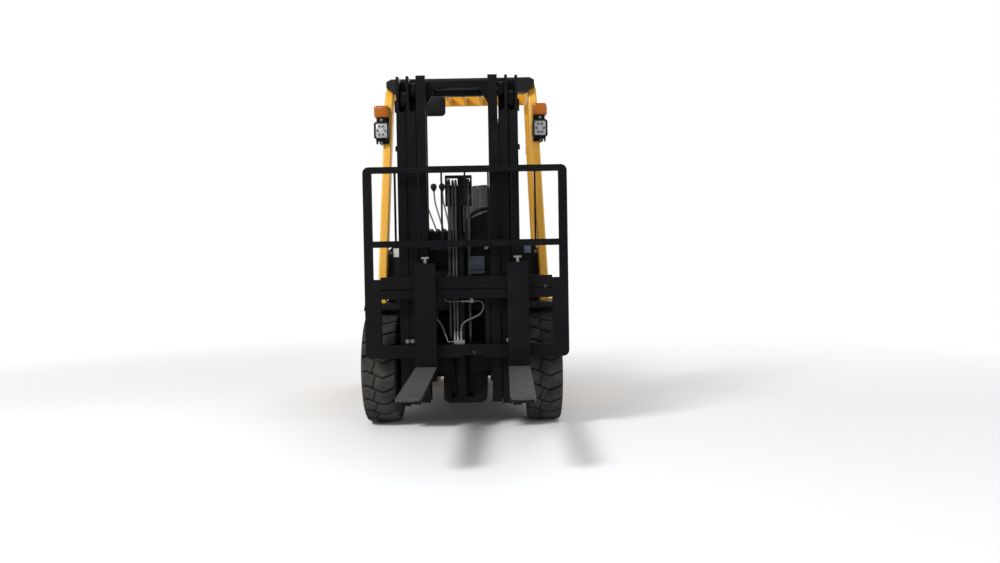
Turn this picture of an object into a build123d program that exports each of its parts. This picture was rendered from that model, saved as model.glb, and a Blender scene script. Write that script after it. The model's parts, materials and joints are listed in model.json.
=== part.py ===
"""Counterbalance forklift truck with a three-stage mast, side-shifting forks and an overhead guard.

Units are millimetres. The truck faces -Y, +X is the operator's left and the ground is z = 0.
"""

import math
import os

from build123d import *

os.makedirs("parts", exist_ok=True)

# Overall layout
FORK_LENGTH = 1070
FRONT_OVERHANG = 490
WHEELBASE = 1700
REAR_OVERHANG = 520
LENGTH = FORK_LENGTH + FRONT_OVERHANG + WHEELBASE + REAR_OVERHANG
FORK_TIP_Y = -LENGTH / 2
FORK_FACE_Y = FORK_TIP_Y + FORK_LENGTH
FRONT_AXLE_Y = FORK_FACE_Y + FRONT_OVERHANG
REAR_AXLE_Y = FRONT_AXLE_Y + WHEELBASE
REAR_Y = LENGTH / 2

# Clearances
RUN_GAP = 0.3
EYE_GAP = 0.9
FIT_GAP = 0.2
SLIDE_GAP = 5
MOVE_GAP = 8

# Wheels
FRONT_TYRE_R = 355
FRONT_TYRE_W = 220
FRONT_RIM_R = 192
FRONT_TRACK = 1010
REAR_TYRE_R = 295
REAR_TYRE_W = 180
REAR_RIM_R = 128
REAR_TRACK = 980
FRONT_X = FRONT_TRACK / 2
REAR_X = REAR_TRACK / 2
FRONT_STUB_R = 45
REAR_STUB_R = 30
KINGPIN_X = REAR_X - 110
KINGPIN_R = 22

# Mast rails, from the fork face backwards
RAIL_W = 56
RAIL_WEB = 17
RAIL_GAP = 5
RAIL_LIP = 6
FLANGE_T = 18
MAST_HALF = 364
MAST_TOP = 2128
MAST_BOTTOM = 148
NOTCH_DEPTH = 210
FORK_T = 45
FORK_W = 125
BAR_T = 38
SLIDE_T = 25
STAGE_SETBACK = 13
BEAM_T = 22
INNER_DEPTH = 126
INNER_FRONT = FORK_FACE_Y + FORK_T + BAR_T + 4 + SLIDE_T + MOVE_GAP
INNER_REAR = INNER_FRONT + INNER_DEPTH
MIDDLE_FRONT = INNER_FRONT + STAGE_SETBACK
MIDDLE_REAR = INNER_REAR + BEAM_T + MOVE_GAP
OUTER_FRONT = MIDDLE_FRONT + STAGE_SETBACK
OUTER_REAR = MIDDLE_REAR + BEAM_T + MOVE_GAP
OUTER_BEAM_T = 30
OUTER_X = (MAST_HALF - RAIL_W, MAST_HALF)
MIDDLE_X = (OUTER_X[0] - RAIL_GAP - RAIL_W, OUTER_X[0] - RAIL_GAP)
INNER_X = (MIDDLE_X[0] - RAIL_GAP - RAIL_W, MIDDLE_X[0] - RAIL_GAP)
ROLLER_W = 30

# Cylinders
LIFT_X = MIDDLE_X[0] + 23
LIFT_R = 35
LIFT_ROD_R = 24
LIFT_BARREL = (MAST_BOTTOM + 42, MAST_TOP - 228)
FREE_R = 42
FREE_ROD_R = 27
TILT_X = OUTER_X[1] - 19
TILT_R = 38
TILT_ROD_R = 19
TILT_MAST_PIN = (OUTER_REAR + 59, FRONT_TYRE_R + 345)
TILT_FRAME_PIN = (FRONT_AXLE_Y + 324, FRONT_TYRE_R + 205)
PIN_R = 16

# Carriage, backrest and forks at rest
SIDE_SHIFT = 43
CARRIAGE_BOTTOM = 450
CARRIAGE_H = 481
CARRIAGE_TOP = CARRIAGE_BOTTOM + CARRIAGE_H
FORK_BOTTOM = CARRIAGE_BOTTOM - 95
FORK_TOP = CARRIAGE_TOP + 79
LOWER_BAR_H = 76
UPPER_BAR_H = 70
SLOT_H = 10
UPPER_RAIL_H = 52
CARRIAGE_HALF = 507
BACKREST_HALF = 602
BACKREST_LEG = 52
BACKREST_BAR = 38
BACKREST_MID = CARRIAGE_TOP + 175
BACKREST_TOP = BACKREST_MID + 475
BACKREST_BARS = 7
FORK_OFFSETS = {"left": 304, "right": -242}

# Body
FRAME_X = (170, 205)
TANK_HALF = 565
TANK_Z = (230, 690)
DECK_Z = TANK_Z[1]
FENDER_GAP = 37
FENDER_R = FRONT_TYRE_R + FENDER_GAP
FENDER_REACH = FENDER_R - 22
TANK_LAP = 20
TANK_Y = (FRONT_AXLE_Y + FENDER_REACH + TANK_LAP, REAR_AXLE_Y - 370)
AXLE_R = 75
DIFF_X = (-122, 150)
DIFF_D = 140
DIFF_Z = (FRONT_TYRE_R - 225, FRONT_TYRE_R + 130)
HOOD_Y = (TANK_Y[0] + 420, TANK_Y[1] + 122)
HOOD_HALF = 430
HOOD_TOP = DECK_Z + 310
HOOD_WALL = 20
ARCH_GAP = 55
CW_HALF = 570
CW_TOP = HOOD_TOP - 15
CW_ARCH = 2 * REAR_TYRE_R + ARCH_GAP
CW_LOWER_Y = REAR_AXLE_Y + REAR_TYRE_R + 75
COWL_Y = FRONT_AXLE_Y + 160
COWL_HALF = 499
COWL_TOP = DECK_Z + 430
DASH_TOP = COWL_TOP + 75

# Overhead guard
GUARD_W = 56
GUARD_D = 84
GUARD_BASE_X = 535
GUARD_TOP_X = 468
GUARD_TOP = 2205
GUARD_RISE = 78
GUARD_FRONT_BASE_Y = COWL_Y - 45
GUARD_FRONT_TOP_Y = COWL_Y + 75
GUARD_REAR_TOP_Y = HOOD_Y[1] - 272
GUARD_REAR_BASE_Y = HOOD_Y[1] + 43


def save(builder, name):
    """Writes one sub-part to its own STEP file."""
    builder.part.label = name
    export_step(builder.part, f"parts/{name}.step")


def block(x, y, z, mode=Mode.ADD):
    """Adds or cuts a rectangular bar that fills three (low, high) spans."""
    with Locations(((x[0] + x[1]) / 2, (y[0] + y[1]) / 2, (z[0] + z[1]) / 2)):
        Box(x[1] - x[0], y[1] - y[0], z[1] - z[0], mode=mode)


def rod_x(x, y, z, radius, mode=Mode.ADD):
    """Adds or cuts a cylinder along X between two x values."""
    with Locations(((x[0] + x[1]) / 2, y, z)):
        Cylinder(radius, x[1] - x[0], rotation=(0, 90, 0), mode=mode)


def rod_z(x, y, z, radius, mode=Mode.ADD):
    """Adds or cuts an upright cylinder between two heights."""
    with Locations((x, y, (z[0] + z[1]) / 2)):
        Cylinder(radius, z[1] - z[0], mode=mode)


def side_plate(points, x, mode=Mode.ADD):
    """Adds or cuts a plate whose outline is drawn in side view as (y, z) points."""
    with BuildSketch(Plane.YZ.offset(x[0])) as outline:
        with BuildLine():
            Polyline(*points, close=True)
        make_face()
    extrude(outline.sketch, amount=x[1] - x[0], mode=mode)


def turned_plane(x, y, z):
    """Gives the plane for a profile turned about X: local x runs along X and local y is the radius."""
    return Plane(origin=(x, y, z), x_dir=(1, 0, 0), z_dir=(0, -1, 0))


def rail(x, front, rear, bottom):
    """Adds the left channel rail of one mast stage, open towards the middle of the truck."""
    web = x[1] - RAIL_WEB
    with BuildSketch(Plane.XY.offset(bottom)) as section:
        with BuildLine():
            Polyline(
                (x[0], front),
                (x[1], front),
                (x[1], rear),
                (x[0], rear),
                (x[0], rear - FLANGE_T),
                (web, rear - FLANGE_T),
                (web, front + FLANGE_T),
                (x[0], front + FLANGE_T),
                close=True,
            )
        make_face()
    extrude(section.sketch, amount=MAST_TOP - bottom)


def flange_notch(x, front):
    """Cuts the front flange away at the top of a rail, rounded at its foot, so the guide roller shows."""
    width = RAIL_W - RAIL_WEB
    with BuildSketch(Plane.XZ.offset(-front - FLANGE_T)) as notch:
        with Locations((x[0] + width / 2, MAST_TOP)):
            SlotOverall(2 * NOTCH_DEPTH, width, rotation=90)
    extrude(notch.sketch, amount=FLANGE_T + 1, mode=Mode.SUBTRACT)


# Tyres and rims
def tyre(x, y, radius, width, bead):
    """Adds a pneumatic-shaped tyre turned about its axle."""
    half = width / 2
    bead_half = 0.8 * half
    middle = (radius + bead) / 2
    shoulder = 0.13 * (radius - bead)
    crown = 0.03 * (radius - bead)
    with BuildSketch(turned_plane(x, y, radius)) as profile:
        with BuildLine():
            Line((bead_half, bead), (-bead_half, bead))
            Line((-bead_half, bead), (-0.92 * half, bead + shoulder))
            ThreePointArc(
                (-0.92 * half, bead + shoulder), (-half, middle), (-0.95 * half, radius - 2 * shoulder)
            )
            ThreePointArc(
                (-0.95 * half, radius - 2 * shoulder),
                (-0.9 * half, radius - shoulder),
                (-0.74 * half, radius - crown),
            )
            ThreePointArc((-0.74 * half, radius - crown), (0, radius), (0.74 * half, radius - crown))
            ThreePointArc(
                (0.74 * half, radius - crown),
                (0.9 * half, radius - shoulder),
                (0.95 * half, radius - 2 * shoulder),
            )
            ThreePointArc(
                (0.95 * half, radius - 2 * shoulder), (half, middle), (0.92 * half, bead + shoulder)
            )
            Line((0.92 * half, bead + shoulder), (bead_half, bead))
        make_face()
    revolve(profile.sketch, axis=Axis((x, y, radius), (1, 0, 0)))


def rim(x, y, z, outward, half, bead, bore, dish, hub):
    """Adds a dished disc wheel with a bored hub; outward is +1 on the left side and -1 on the right."""
    outer = bead - FIT_GAP
    wall = 12
    disc = 16
    with BuildSketch(turned_plane(x, y, z)) as profile:
        with BuildLine():
            Polyline(
                (-outward * half, outer),
                (outward * half, outer),
                (outward * half, outer - wall),
                (outward * (dish + disc), outer - wall - disc),
                (outward * (dish + disc), hub),
                (outward * (dish + 3 * disc), hub),
                (outward * (dish + 3 * disc), bore),
                (outward * (dish - disc), bore),
                (outward * (dish - disc), hub),
                (outward * dish, hub),
                (outward * dish, outer - wall - disc),
                (outward * (dish - disc), outer - wall),
                (-outward * half, outer - wall),
                close=True,
            )
        make_face()
    revolve(profile.sketch, axis=Axis((x, y, z), (1, 0, 0)))


FRONT_DISH = 20
REAR_DISH = 48
FRONT_HUB_R = 80
REAR_HUB_R = 55
for side, sign in (("left", 1), ("right", -1)):
    with BuildPart() as front_tyre:
        tyre(sign * FRONT_X, FRONT_AXLE_Y, FRONT_TYRE_R, FRONT_TYRE_W, FRONT_RIM_R)
    save(front_tyre, f"front_tyre_{side}")

    with BuildPart() as front_rim:
        rim(
            sign * FRONT_X,
            FRONT_AXLE_Y,
            FRONT_TYRE_R,
            sign,
            0.8 * FRONT_TYRE_W / 2,
            FRONT_RIM_R,
            FRONT_STUB_R + RUN_GAP,
            FRONT_DISH,
            FRONT_HUB_R,
        )
    save(front_rim, f"front_rim_{side}")

    with BuildPart() as rear_tyre:
        tyre(sign * REAR_X, REAR_AXLE_Y, REAR_TYRE_R, REAR_TYRE_W, REAR_RIM_R)
    save(rear_tyre, f"rear_tyre_{side}")

    with BuildPart() as rear_rim:
        rim(
            sign * REAR_X,
            REAR_AXLE_Y,
            REAR_TYRE_R,
            sign,
            0.8 * REAR_TYRE_W / 2,
            REAR_RIM_R,
            REAR_STUB_R + RUN_GAP,
            REAR_DISH,
            REAR_HUB_R,
        )
    save(rear_rim, f"rear_rim_{side}")

# Drive axle
PIVOT_X = (OUTER_X[0] + 8, OUTER_X[1] - 4)
DRUM_R = 150
DRUM_X = (OUTER_X[1] + MOVE_GAP, FRONT_X - 10)
with BuildPart() as drive_axle:
    block(DIFF_X, (FRONT_AXLE_Y - DIFF_D, FRONT_AXLE_Y + DIFF_D), DIFF_Z)
    fillet(drive_axle.edges().filter_by(Axis.Y), radius=45)
    rod_x((-DRUM_X[0], DRUM_X[0]), FRONT_AXLE_Y, FRONT_TYRE_R, AXLE_R)
    with BuildSketch(turned_plane(0, FRONT_AXLE_Y, FRONT_TYRE_R)):
        with BuildLine():
            Polyline(
                (DRUM_X[0], 0),
                (DRUM_X[0], DRUM_R - 25),
                (DRUM_X[0] + 25, DRUM_R),
                (DRUM_X[1], DRUM_R),
                (DRUM_X[1], FRONT_STUB_R),
                (FRONT_X + FRONT_DISH + 60, FRONT_STUB_R),
                (FRONT_X + FRONT_DISH + 60, 0),
                close=True,
            )
        make_face()
    drum = revolve(axis=Axis((0, FRONT_AXLE_Y, FRONT_TYRE_R), (1, 0, 0)))
    mirror(drum, about=Plane.YZ)
save(drive_axle, "drive_axle")

# Steer axle: an upper and a lower plate with the steering cylinder between them
AXLE_PLATE_T = 20
AXLE_PLATE_Z = 82
AXLE_HALF_D = 65
BOSS_R = 44
with BuildPart() as steer_axle:
    for low in (REAR_TYRE_R - AXLE_PLATE_Z - AXLE_PLATE_T, REAR_TYRE_R + AXLE_PLATE_Z):
        with BuildSketch(Plane.XY.offset(low)):
            with Locations((0, REAR_AXLE_Y)):
                SlotCenterToCenter(2 * KINGPIN_X, 2 * BOSS_R)
                Rectangle(0.9 * KINGPIN_X, 2 * AXLE_HALF_D)
        extrude(amount=AXLE_PLATE_T)
    plate_gap = (REAR_TYRE_R - AXLE_PLATE_Z, REAR_TYRE_R + AXLE_PLATE_Z)
    block((-110, 110), (REAR_AXLE_Y - 50, REAR_AXLE_Y + 50), plate_gap)
    rod_x((-200, 200), REAR_AXLE_Y, REAR_TYRE_R, 40)
    rod_x((-250, 250), REAR_AXLE_Y, REAR_TYRE_R, 18)
    top = plate_gap[1] + AXLE_PLATE_T
    side_plate(
        [
            (REAR_AXLE_Y - AXLE_HALF_D, top),
            (REAR_AXLE_Y + AXLE_HALF_D, top),
            (REAR_AXLE_Y + 110, CW_ARCH),
            (REAR_AXLE_Y - 110, CW_ARCH),
        ],
        (-85, 85),
    )
    for x in (-KINGPIN_X, KINGPIN_X):
        rod_z(x, REAR_AXLE_Y, (0, CW_ARCH - 100), KINGPIN_R + RUN_GAP, mode=Mode.SUBTRACT)
save(steer_axle, "steer_axle")

for side, sign in (("left", 1), ("right", -1)):
    with BuildPart() as knuckle:
        inner = REAR_TYRE_R - AXLE_PLATE_Z + 1
        outer = REAR_TYRE_R + AXLE_PLATE_Z - 1
        rod_z(sign * KINGPIN_X, REAR_AXLE_Y, (inner, outer), BOSS_R - 4)
        pin = (inner - AXLE_PLATE_T - 8, outer + AXLE_PLATE_T + 8)
        rod_z(sign * KINGPIN_X, REAR_AXLE_Y, pin, KINGPIN_R)
        stub = sorted((sign * KINGPIN_X, sign * (REAR_X + REAR_DISH + 55)))
        rod_x(stub, REAR_AXLE_Y, REAR_TYRE_R, REAR_STUB_R)
        flange = sorted((sign * KINGPIN_X, sign * (REAR_X + 22)))
        rod_x(flange, REAR_AXLE_Y, REAR_TYRE_R, REAR_STUB_R + 12)
        arm = sorted((sign * (KINGPIN_X - 20), sign * (KINGPIN_X + 20)))
        block(arm, (REAR_AXLE_Y - 120, REAR_AXLE_Y - 20), (inner, inner + 22))
    save(knuckle, f"steer_knuckle_{side}")

# Chassis frame with the side tanks and the entry steps
ARCH_R = FENDER_R
STEP_Z = 440
STEP_Y = (TANK_Y[0] + 105, HOOD_Y[0] - 10)
STEP_X = TANK_HALF - 170
with BuildPart() as chassis_frame:
    side_plate(
        [
            (FRONT_AXLE_Y - 95, FRONT_TYRE_R - 95),
            (FRONT_AXLE_Y + 180, TANK_Z[0]),
            (TANK_Y[1], TANK_Z[0] + 90),
            (TANK_Y[1], DECK_Z),
            (FRONT_AXLE_Y + 120, DECK_Z),
            (FRONT_AXLE_Y - 95, FRONT_TYRE_R + 95),
        ],
        FRAME_X,
    )
    side_plate(
        [
            (TANK_Y[0] - TANK_LAP, TANK_Z[0] + 60),
            (TANK_Y[0] + 60, TANK_Z[0]),
            (TANK_Y[1] - 120, TANK_Z[0]),
            (TANK_Y[1], TANK_Z[0] + 120),
            (TANK_Y[1], DECK_Z),
            (TANK_Y[0] - TANK_LAP, DECK_Z),
        ],
        (FRAME_X[1], TANK_HALF),
    )
    rod_x((FRAME_X[1] + 1, TANK_HALF), FRONT_AXLE_Y, FRONT_TYRE_R, ARCH_R, mode=Mode.SUBTRACT)
    rod_x(FRAME_X, FRONT_AXLE_Y, FRONT_TYRE_R, AXLE_R + FIT_GAP, mode=Mode.SUBTRACT)
    block((STEP_X, TANK_HALF + 1), STEP_Y, (STEP_Z, DECK_Z + 1), mode=Mode.SUBTRACT)
    side_plate(
        [
            (TILT_FRAME_PIN[0] - 26, TILT_FRAME_PIN[1] - 30),
            (TANK_Y[0] + 70, TILT_FRAME_PIN[1] - 60),
            (TANK_Y[0] + 70, TILT_FRAME_PIN[1] + 60),
            (TILT_FRAME_PIN[0] - 26, TILT_FRAME_PIN[1] + 30),
        ],
        (TILT_X - 42, TILT_X - 24),
    )
    side_plate(
        [
            (TILT_FRAME_PIN[0] - 26, TILT_FRAME_PIN[1] - 30),
            (TANK_Y[0] + 70, TILT_FRAME_PIN[1] - 60),
            (TANK_Y[0] + 70, TILT_FRAME_PIN[1] + 60),
            (TILT_FRAME_PIN[0] - 26, TILT_FRAME_PIN[1] + 30),
        ],
        (TILT_X + 24, TILT_X + 42),
    )
    rod_x((TILT_X - 42, TILT_X + 42), *TILT_FRAME_PIN, PIN_R)
    mirror(about=Plane.YZ)
    block((-FRAME_X[0], FRAME_X[0]), (TANK_Y[0], TANK_Y[0] + 60), (TANK_Z[0] + 40, DECK_Z - 40))
    block((-FRAME_X[0], FRAME_X[0]), (TANK_Y[1] - 30, TANK_Y[1]), (TANK_Z[0] + 150, DECK_Z))
save(chassis_frame, "chassis_frame")

# Front fenders, curved over the drive wheels
FENDER_T = 10
FENDER_LIP = 150
FENDER_X = (FRONT_X - 115, FRONT_X + 107)
with BuildPart() as front_fenders:
    with BuildSketch(Plane.YZ.offset(FENDER_X[0])):
        with BuildLine():
            lip = (FRONT_AXLE_Y - FENDER_LIP, FRONT_TYRE_R + math.sqrt(FENDER_R**2 - FENDER_LIP**2))
            crest = (FRONT_AXLE_Y, FRONT_TYRE_R + FENDER_R)
            reach = FENDER_REACH - FIT_GAP
            foot = (FRONT_AXLE_Y + reach, FRONT_TYRE_R + math.sqrt(FENDER_R**2 - reach**2))
            ThreePointArc(lip, crest, foot)
            Line(foot, (foot[0], DECK_Z + 4 * FENDER_T))
            Line((foot[0], DECK_Z + 4 * FENDER_T), (foot[0] - 60, crest[1] + FENDER_T))
            Line((foot[0] - 60, crest[1] + FENDER_T), (lip[0] + 40, crest[1] + FENDER_T))
            Line((lip[0] + 40, crest[1] + FENDER_T), (lip[0], lip[1] + FENDER_T))
            Line((lip[0], lip[1] + FENDER_T), lip)
        make_face()
    extrude(amount=FENDER_X[1] - FENDER_X[0])
    mirror(about=Plane.YZ)
save(front_fenders, "front_fenders")

# Floor, front cowl and dash
FLOOR_T = 12
COWL_T = 18
with BuildPart() as floor_plate:
    block((-FENDER_X[0] + 4, FENDER_X[0] - 4), (COWL_Y, HOOD_Y[0] - 12), (DECK_Z, DECK_Z + FLOOR_T))
    block((-STEP_X, STEP_X), (TANK_Y[0], HOOD_Y[0] - 12), (DECK_Z, DECK_Z + FLOOR_T))
save(floor_plate, "floor_plate")

with BuildPart() as front_cowl:
    with BuildSketch(Plane.XZ.offset(-COWL_Y)):
        with BuildLine():
            Polyline(
                (-FENDER_X[0] + 4, DECK_Z + FLOOR_T),
                (FENDER_X[0] - 4, DECK_Z + FLOOR_T),
                (FENDER_X[0] - 4, FRONT_TYRE_R + FENDER_R + FENDER_T),
                (COWL_HALF, FRONT_TYRE_R + FENDER_R + FENDER_T),
                (COWL_HALF - 15, COWL_TOP - 20),
                (COWL_HALF - 35, COWL_TOP),
                (-COWL_HALF + 35, COWL_TOP),
                (-COWL_HALF + 15, COWL_TOP - 20),
                (-COWL_HALF, FRONT_TYRE_R + FENDER_R + FENDER_T),
                (-FENDER_X[0] + 4, FRONT_TYRE_R + FENDER_R + FENDER_T),
                close=True,
            )
        make_face()
    extrude(amount=-COWL_T)
    block((-COWL_HALF + 70, COWL_HALF - 70), (COWL_Y, COWL_Y + 110), (COWL_TOP - 40, COWL_TOP))
save(front_cowl, "front_cowl")

DASH_Y = (COWL_Y + 8, COWL_Y + 150)
WHEEL_X = 170
HUMP_X = WHEEL_X
HUMP_R = 165
DASH_HALF = COWL_HALF - 139
with BuildPart() as dash_panel:
    with BuildSketch(Plane.XZ.offset(-DASH_Y[0])):
        with BuildLine():
            Polyline(
                (-DASH_HALF, COWL_TOP),
                (HUMP_X + HUMP_R, COWL_TOP),
                (HUMP_X + HUMP_R, COWL_TOP + 40),
                (HUMP_X + 0.9 * HUMP_R, DASH_TOP + 60),
                (HUMP_X + 0.6 * HUMP_R, DASH_TOP + 130),
                (HUMP_X, DASH_TOP + 150),
                (HUMP_X - 0.6 * HUMP_R, DASH_TOP + 110),
                (HUMP_X - 0.9 * HUMP_R, DASH_TOP + 40),
                (HUMP_X - HUMP_R, DASH_TOP),
                (-DASH_HALF + 30, DASH_TOP),
                (-DASH_HALF, DASH_TOP - 30),
                close=True,
            )
        make_face()
    extrude(amount=DASH_Y[0] - DASH_Y[1])
save(dash_panel, "dash_panel")

# Steering column and wheel
WHEEL_Y = COWL_Y + 360
WHEEL_Z = DASH_TOP + 64
WHEEL_TILT = 45
WHEEL_R = 165
COLUMN_R = 38
WHEEL_AXIS = Vector(0, math.sin(math.radians(WHEEL_TILT)), math.cos(math.radians(WHEEL_TILT)))
WHEEL_PLANE = Plane(origin=(WHEEL_X, WHEEL_Y, WHEEL_Z), x_dir=(1, 0, 0), z_dir=WHEEL_AXIS)
with BuildPart() as steering_wheel:
    with BuildSketch(Plane(origin=WHEEL_PLANE.origin, x_dir=(1, 0, 0), z_dir=WHEEL_PLANE.y_dir)):
        with Locations((WHEEL_R, 0)):
            Circle(14)
    revolve(axis=Axis(WHEEL_PLANE.origin, WHEEL_AXIS))
    with BuildSketch(WHEEL_PLANE.offset(-14)):
        Circle(44)
        for angle in (90, 210, 330):
            with Locations((0.5 * WHEEL_R * math.cos(math.radians(angle)), 0.5 * WHEEL_R * math.sin(math.radians(angle)))):
                Rectangle(WHEEL_R, 30, rotation=angle)
    extrude(amount=16)
    with BuildSketch(WHEEL_PLANE.offset(-40)):
        Circle(30)
    extrude(amount=50)
save(steering_wheel, "steering_wheel")

with BuildPart() as steering_column:
    with BuildSketch(WHEEL_PLANE.offset(-40 - RUN_GAP)):
        Circle(COLUMN_R)
    extrude(amount=-(WHEEL_Z - 40 - DECK_Z - FLOOR_T) / math.cos(math.radians(WHEEL_TILT)) - 60)
    block((WHEEL_X - 200, WHEEL_X + 200), (COWL_Y - 500, COWL_Y + COWL_T + FIT_GAP), (0, COWL_TOP + 300), mode=Mode.SUBTRACT)
save(steering_column, "steering_column")

# Control levers and pedals
LEVERS = (-136, -192, -250, -306)
LEVER_Z = DASH_TOP + 305
with BuildPart() as control_levers:
    for x in LEVERS:
        foot = (0.75 * x + 20, COWL_Y + 80, DASH_TOP)
        knee = (x + 12, COWL_Y + 110, LEVER_Z - 110)
        with BuildLine() as lever_path:
            Polyline(foot, knee, (x, COWL_Y + 120, LEVER_Z))
        with BuildSketch(Plane(origin=foot, z_dir=Vector(*knee) - Vector(*foot))):
            Circle(6)
        sweep(path=lever_path.line, transition=Transition.ROUND)
        with Locations((x, COWL_Y + 120, LEVER_Z)):
            Sphere(19)
        with Locations((foot[0], foot[1], DASH_TOP + 15)):
            Cone(24, 10, 30)
    block((-COWL_HALF, 0), (COWL_Y - 50, COWL_Y + 250), (DASH_TOP - 60, DASH_TOP), mode=Mode.SUBTRACT)
save(control_levers, "control_levers")

with BuildPart() as pedals:
    for x, width in ((-190, 70), (-30, 110), (150, 70)):
        side_plate(
            [
                (COWL_Y + COWL_T, DECK_Z + FLOOR_T + 40),
                (COWL_Y + COWL_T, DECK_Z + FLOOR_T + 70),
                (COWL_Y + 120, DECK_Z + FLOOR_T + 130),
                (COWL_Y + 190, DECK_Z + FLOOR_T + 40),
                (COWL_Y + 178, DECK_Z + FLOOR_T + 32),
                (COWL_Y + 112, DECK_Z + FLOOR_T + 112),
            ],
            (x - width / 2, x + width / 2),
        )
save(pedals, "pedals")

# Counterweight, with the arches over the steered wheels
CW_CORNER = 230
TOW_Z = (TANK_Z[0] + 200, TANK_Z[0] + 310)
TOW_Y = REAR_Y - 55
TOW_PIN_R = 16
GRILLE_HALF = 250
GRILLE_Z = (CW_ARCH + 55, CW_TOP - 85)
GRILLE_DEEP = 60
LOUVRES = 7
LIFT_HOLE_R = 22
HINGE_R = 12
HINGE_PIN_R = 5
HINGE_X = (60, 110)
HOOD_HINGE = (HOOD_Y[1] + 4, HOOD_TOP + 14)
with BuildPart() as counterweight:
    with BuildSketch(Plane.XY.offset(CW_ARCH)):
        with BuildLine():
            Polyline(
                (-CW_HALF, TANK_Y[1] + FIT_GAP),
                (CW_HALF, TANK_Y[1] + FIT_GAP),
                (CW_HALF, REAR_Y - CW_CORNER),
                (CW_HALF - 0.3 * CW_CORNER, REAR_Y - 0.3 * CW_CORNER),
                (CW_HALF - CW_CORNER, REAR_Y),
                (-CW_HALF + CW_CORNER, REAR_Y),
                (-CW_HALF + 0.3 * CW_CORNER, REAR_Y - 0.3 * CW_CORNER),
                (-CW_HALF, REAR_Y - CW_CORNER),
                close=True,
            )
        make_face()
    extrude(amount=CW_TOP - CW_ARCH)
    fillet(counterweight.faces().sort_by(Axis.Z)[-1].edges(), radius=40)
    with BuildSketch(Plane.XY.offset(TANK_Z[0])):
        with BuildLine():
            Polyline(
                (-CW_HALF + 120, CW_LOWER_Y),
                (CW_HALF - 120, CW_LOWER_Y),
                (CW_HALF - 0.5 * CW_CORNER, REAR_Y - 0.4 * CW_CORNER),
                (CW_HALF - CW_CORNER, REAR_Y - 20),
                (-CW_HALF + CW_CORNER, REAR_Y - 20),
                (-CW_HALF + 0.5 * CW_CORNER, REAR_Y - 0.4 * CW_CORNER),
                close=True,
            )
        make_face()
    extrude(amount=CW_ARCH - TANK_Z[0])
    block(
        (-HOOD_HALF - SLIDE_GAP, HOOD_HALF + SLIDE_GAP),
        (TANK_Y[1] - 1, HOOD_Y[1] + MOVE_GAP),
        (CW_ARCH - 1, CW_TOP + 1),
        mode=Mode.SUBTRACT,
    )
    block((-45, 45), (REAR_Y - 90, REAR_Y + 1), TOW_Z, mode=Mode.SUBTRACT)
    rod_z(0, TOW_Y, (TOW_Z[0] - 30, TOW_Z[1] + 60), TOW_PIN_R + FIT_GAP, mode=Mode.SUBTRACT)
    block((-GRILLE_HALF, GRILLE_HALF), (REAR_Y - GRILLE_DEEP, REAR_Y + 1), GRILLE_Z, mode=Mode.SUBTRACT)
    for x in (-160, 160):
        rod_z(x, REAR_Y - 390, (CW_TOP - 120, CW_TOP + 1), LIFT_HOLE_R, mode=Mode.SUBTRACT)
    for sign in (-1, 1):
        leaf = sorted((sign * (HINGE_X[0] + 1), sign * HINGE_X[1]))
        block(leaf, (HOOD_HINGE[0] + MOVE_GAP, HOOD_HINGE[0] + 50), (CW_TOP - 20, HOOD_HINGE[1]))
        rod_x(leaf, *HOOD_HINGE, HINGE_R)
    rod_x((-HINGE_X[1], HINGE_X[1]), *HOOD_HINGE, HINGE_PIN_R)
save(counterweight, "counterweight")

with BuildPart() as tow_pin:
    rod_z(0, TOW_Y, (TOW_Z[0] - 30 + FIT_GAP, TOW_Z[1] + 60), TOW_PIN_R)
    rod_z(0, TOW_Y, (TOW_Z[0] + 10, TOW_Z[0] + 22), TOW_PIN_R + 10)
save(tow_pin, "tow_pin")

with BuildPart() as radiator_grille:
    grille_x = (-GRILLE_HALF + FIT_GAP, GRILLE_HALF - FIT_GAP)
    screen = REAR_Y - GRILLE_DEEP + 12
    block(grille_x, (REAR_Y - GRILLE_DEEP, screen), (GRILLE_Z[0] + FIT_GAP, GRILLE_Z[1] - FIT_GAP))
    for row in range(1, LOUVRES + 1):
        height = GRILLE_Z[0] + row * (GRILLE_Z[1] - GRILLE_Z[0]) / (LOUVRES + 1)
        block(grille_x, (screen, REAR_Y - 20), (height - 4, height + 4))
save(radiator_grille, "radiator_grille")

with BuildPart() as engine_block:
    block(
        (-FRAME_X[0] + SLIDE_GAP, FRAME_X[0] - SLIDE_GAP),
        (HOOD_Y[0] + 60, TANK_Y[1] - 30),
        (TANK_Z[0] + 110, HOOD_TOP - 100),
    )
save(engine_block, "engine_block")

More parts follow.
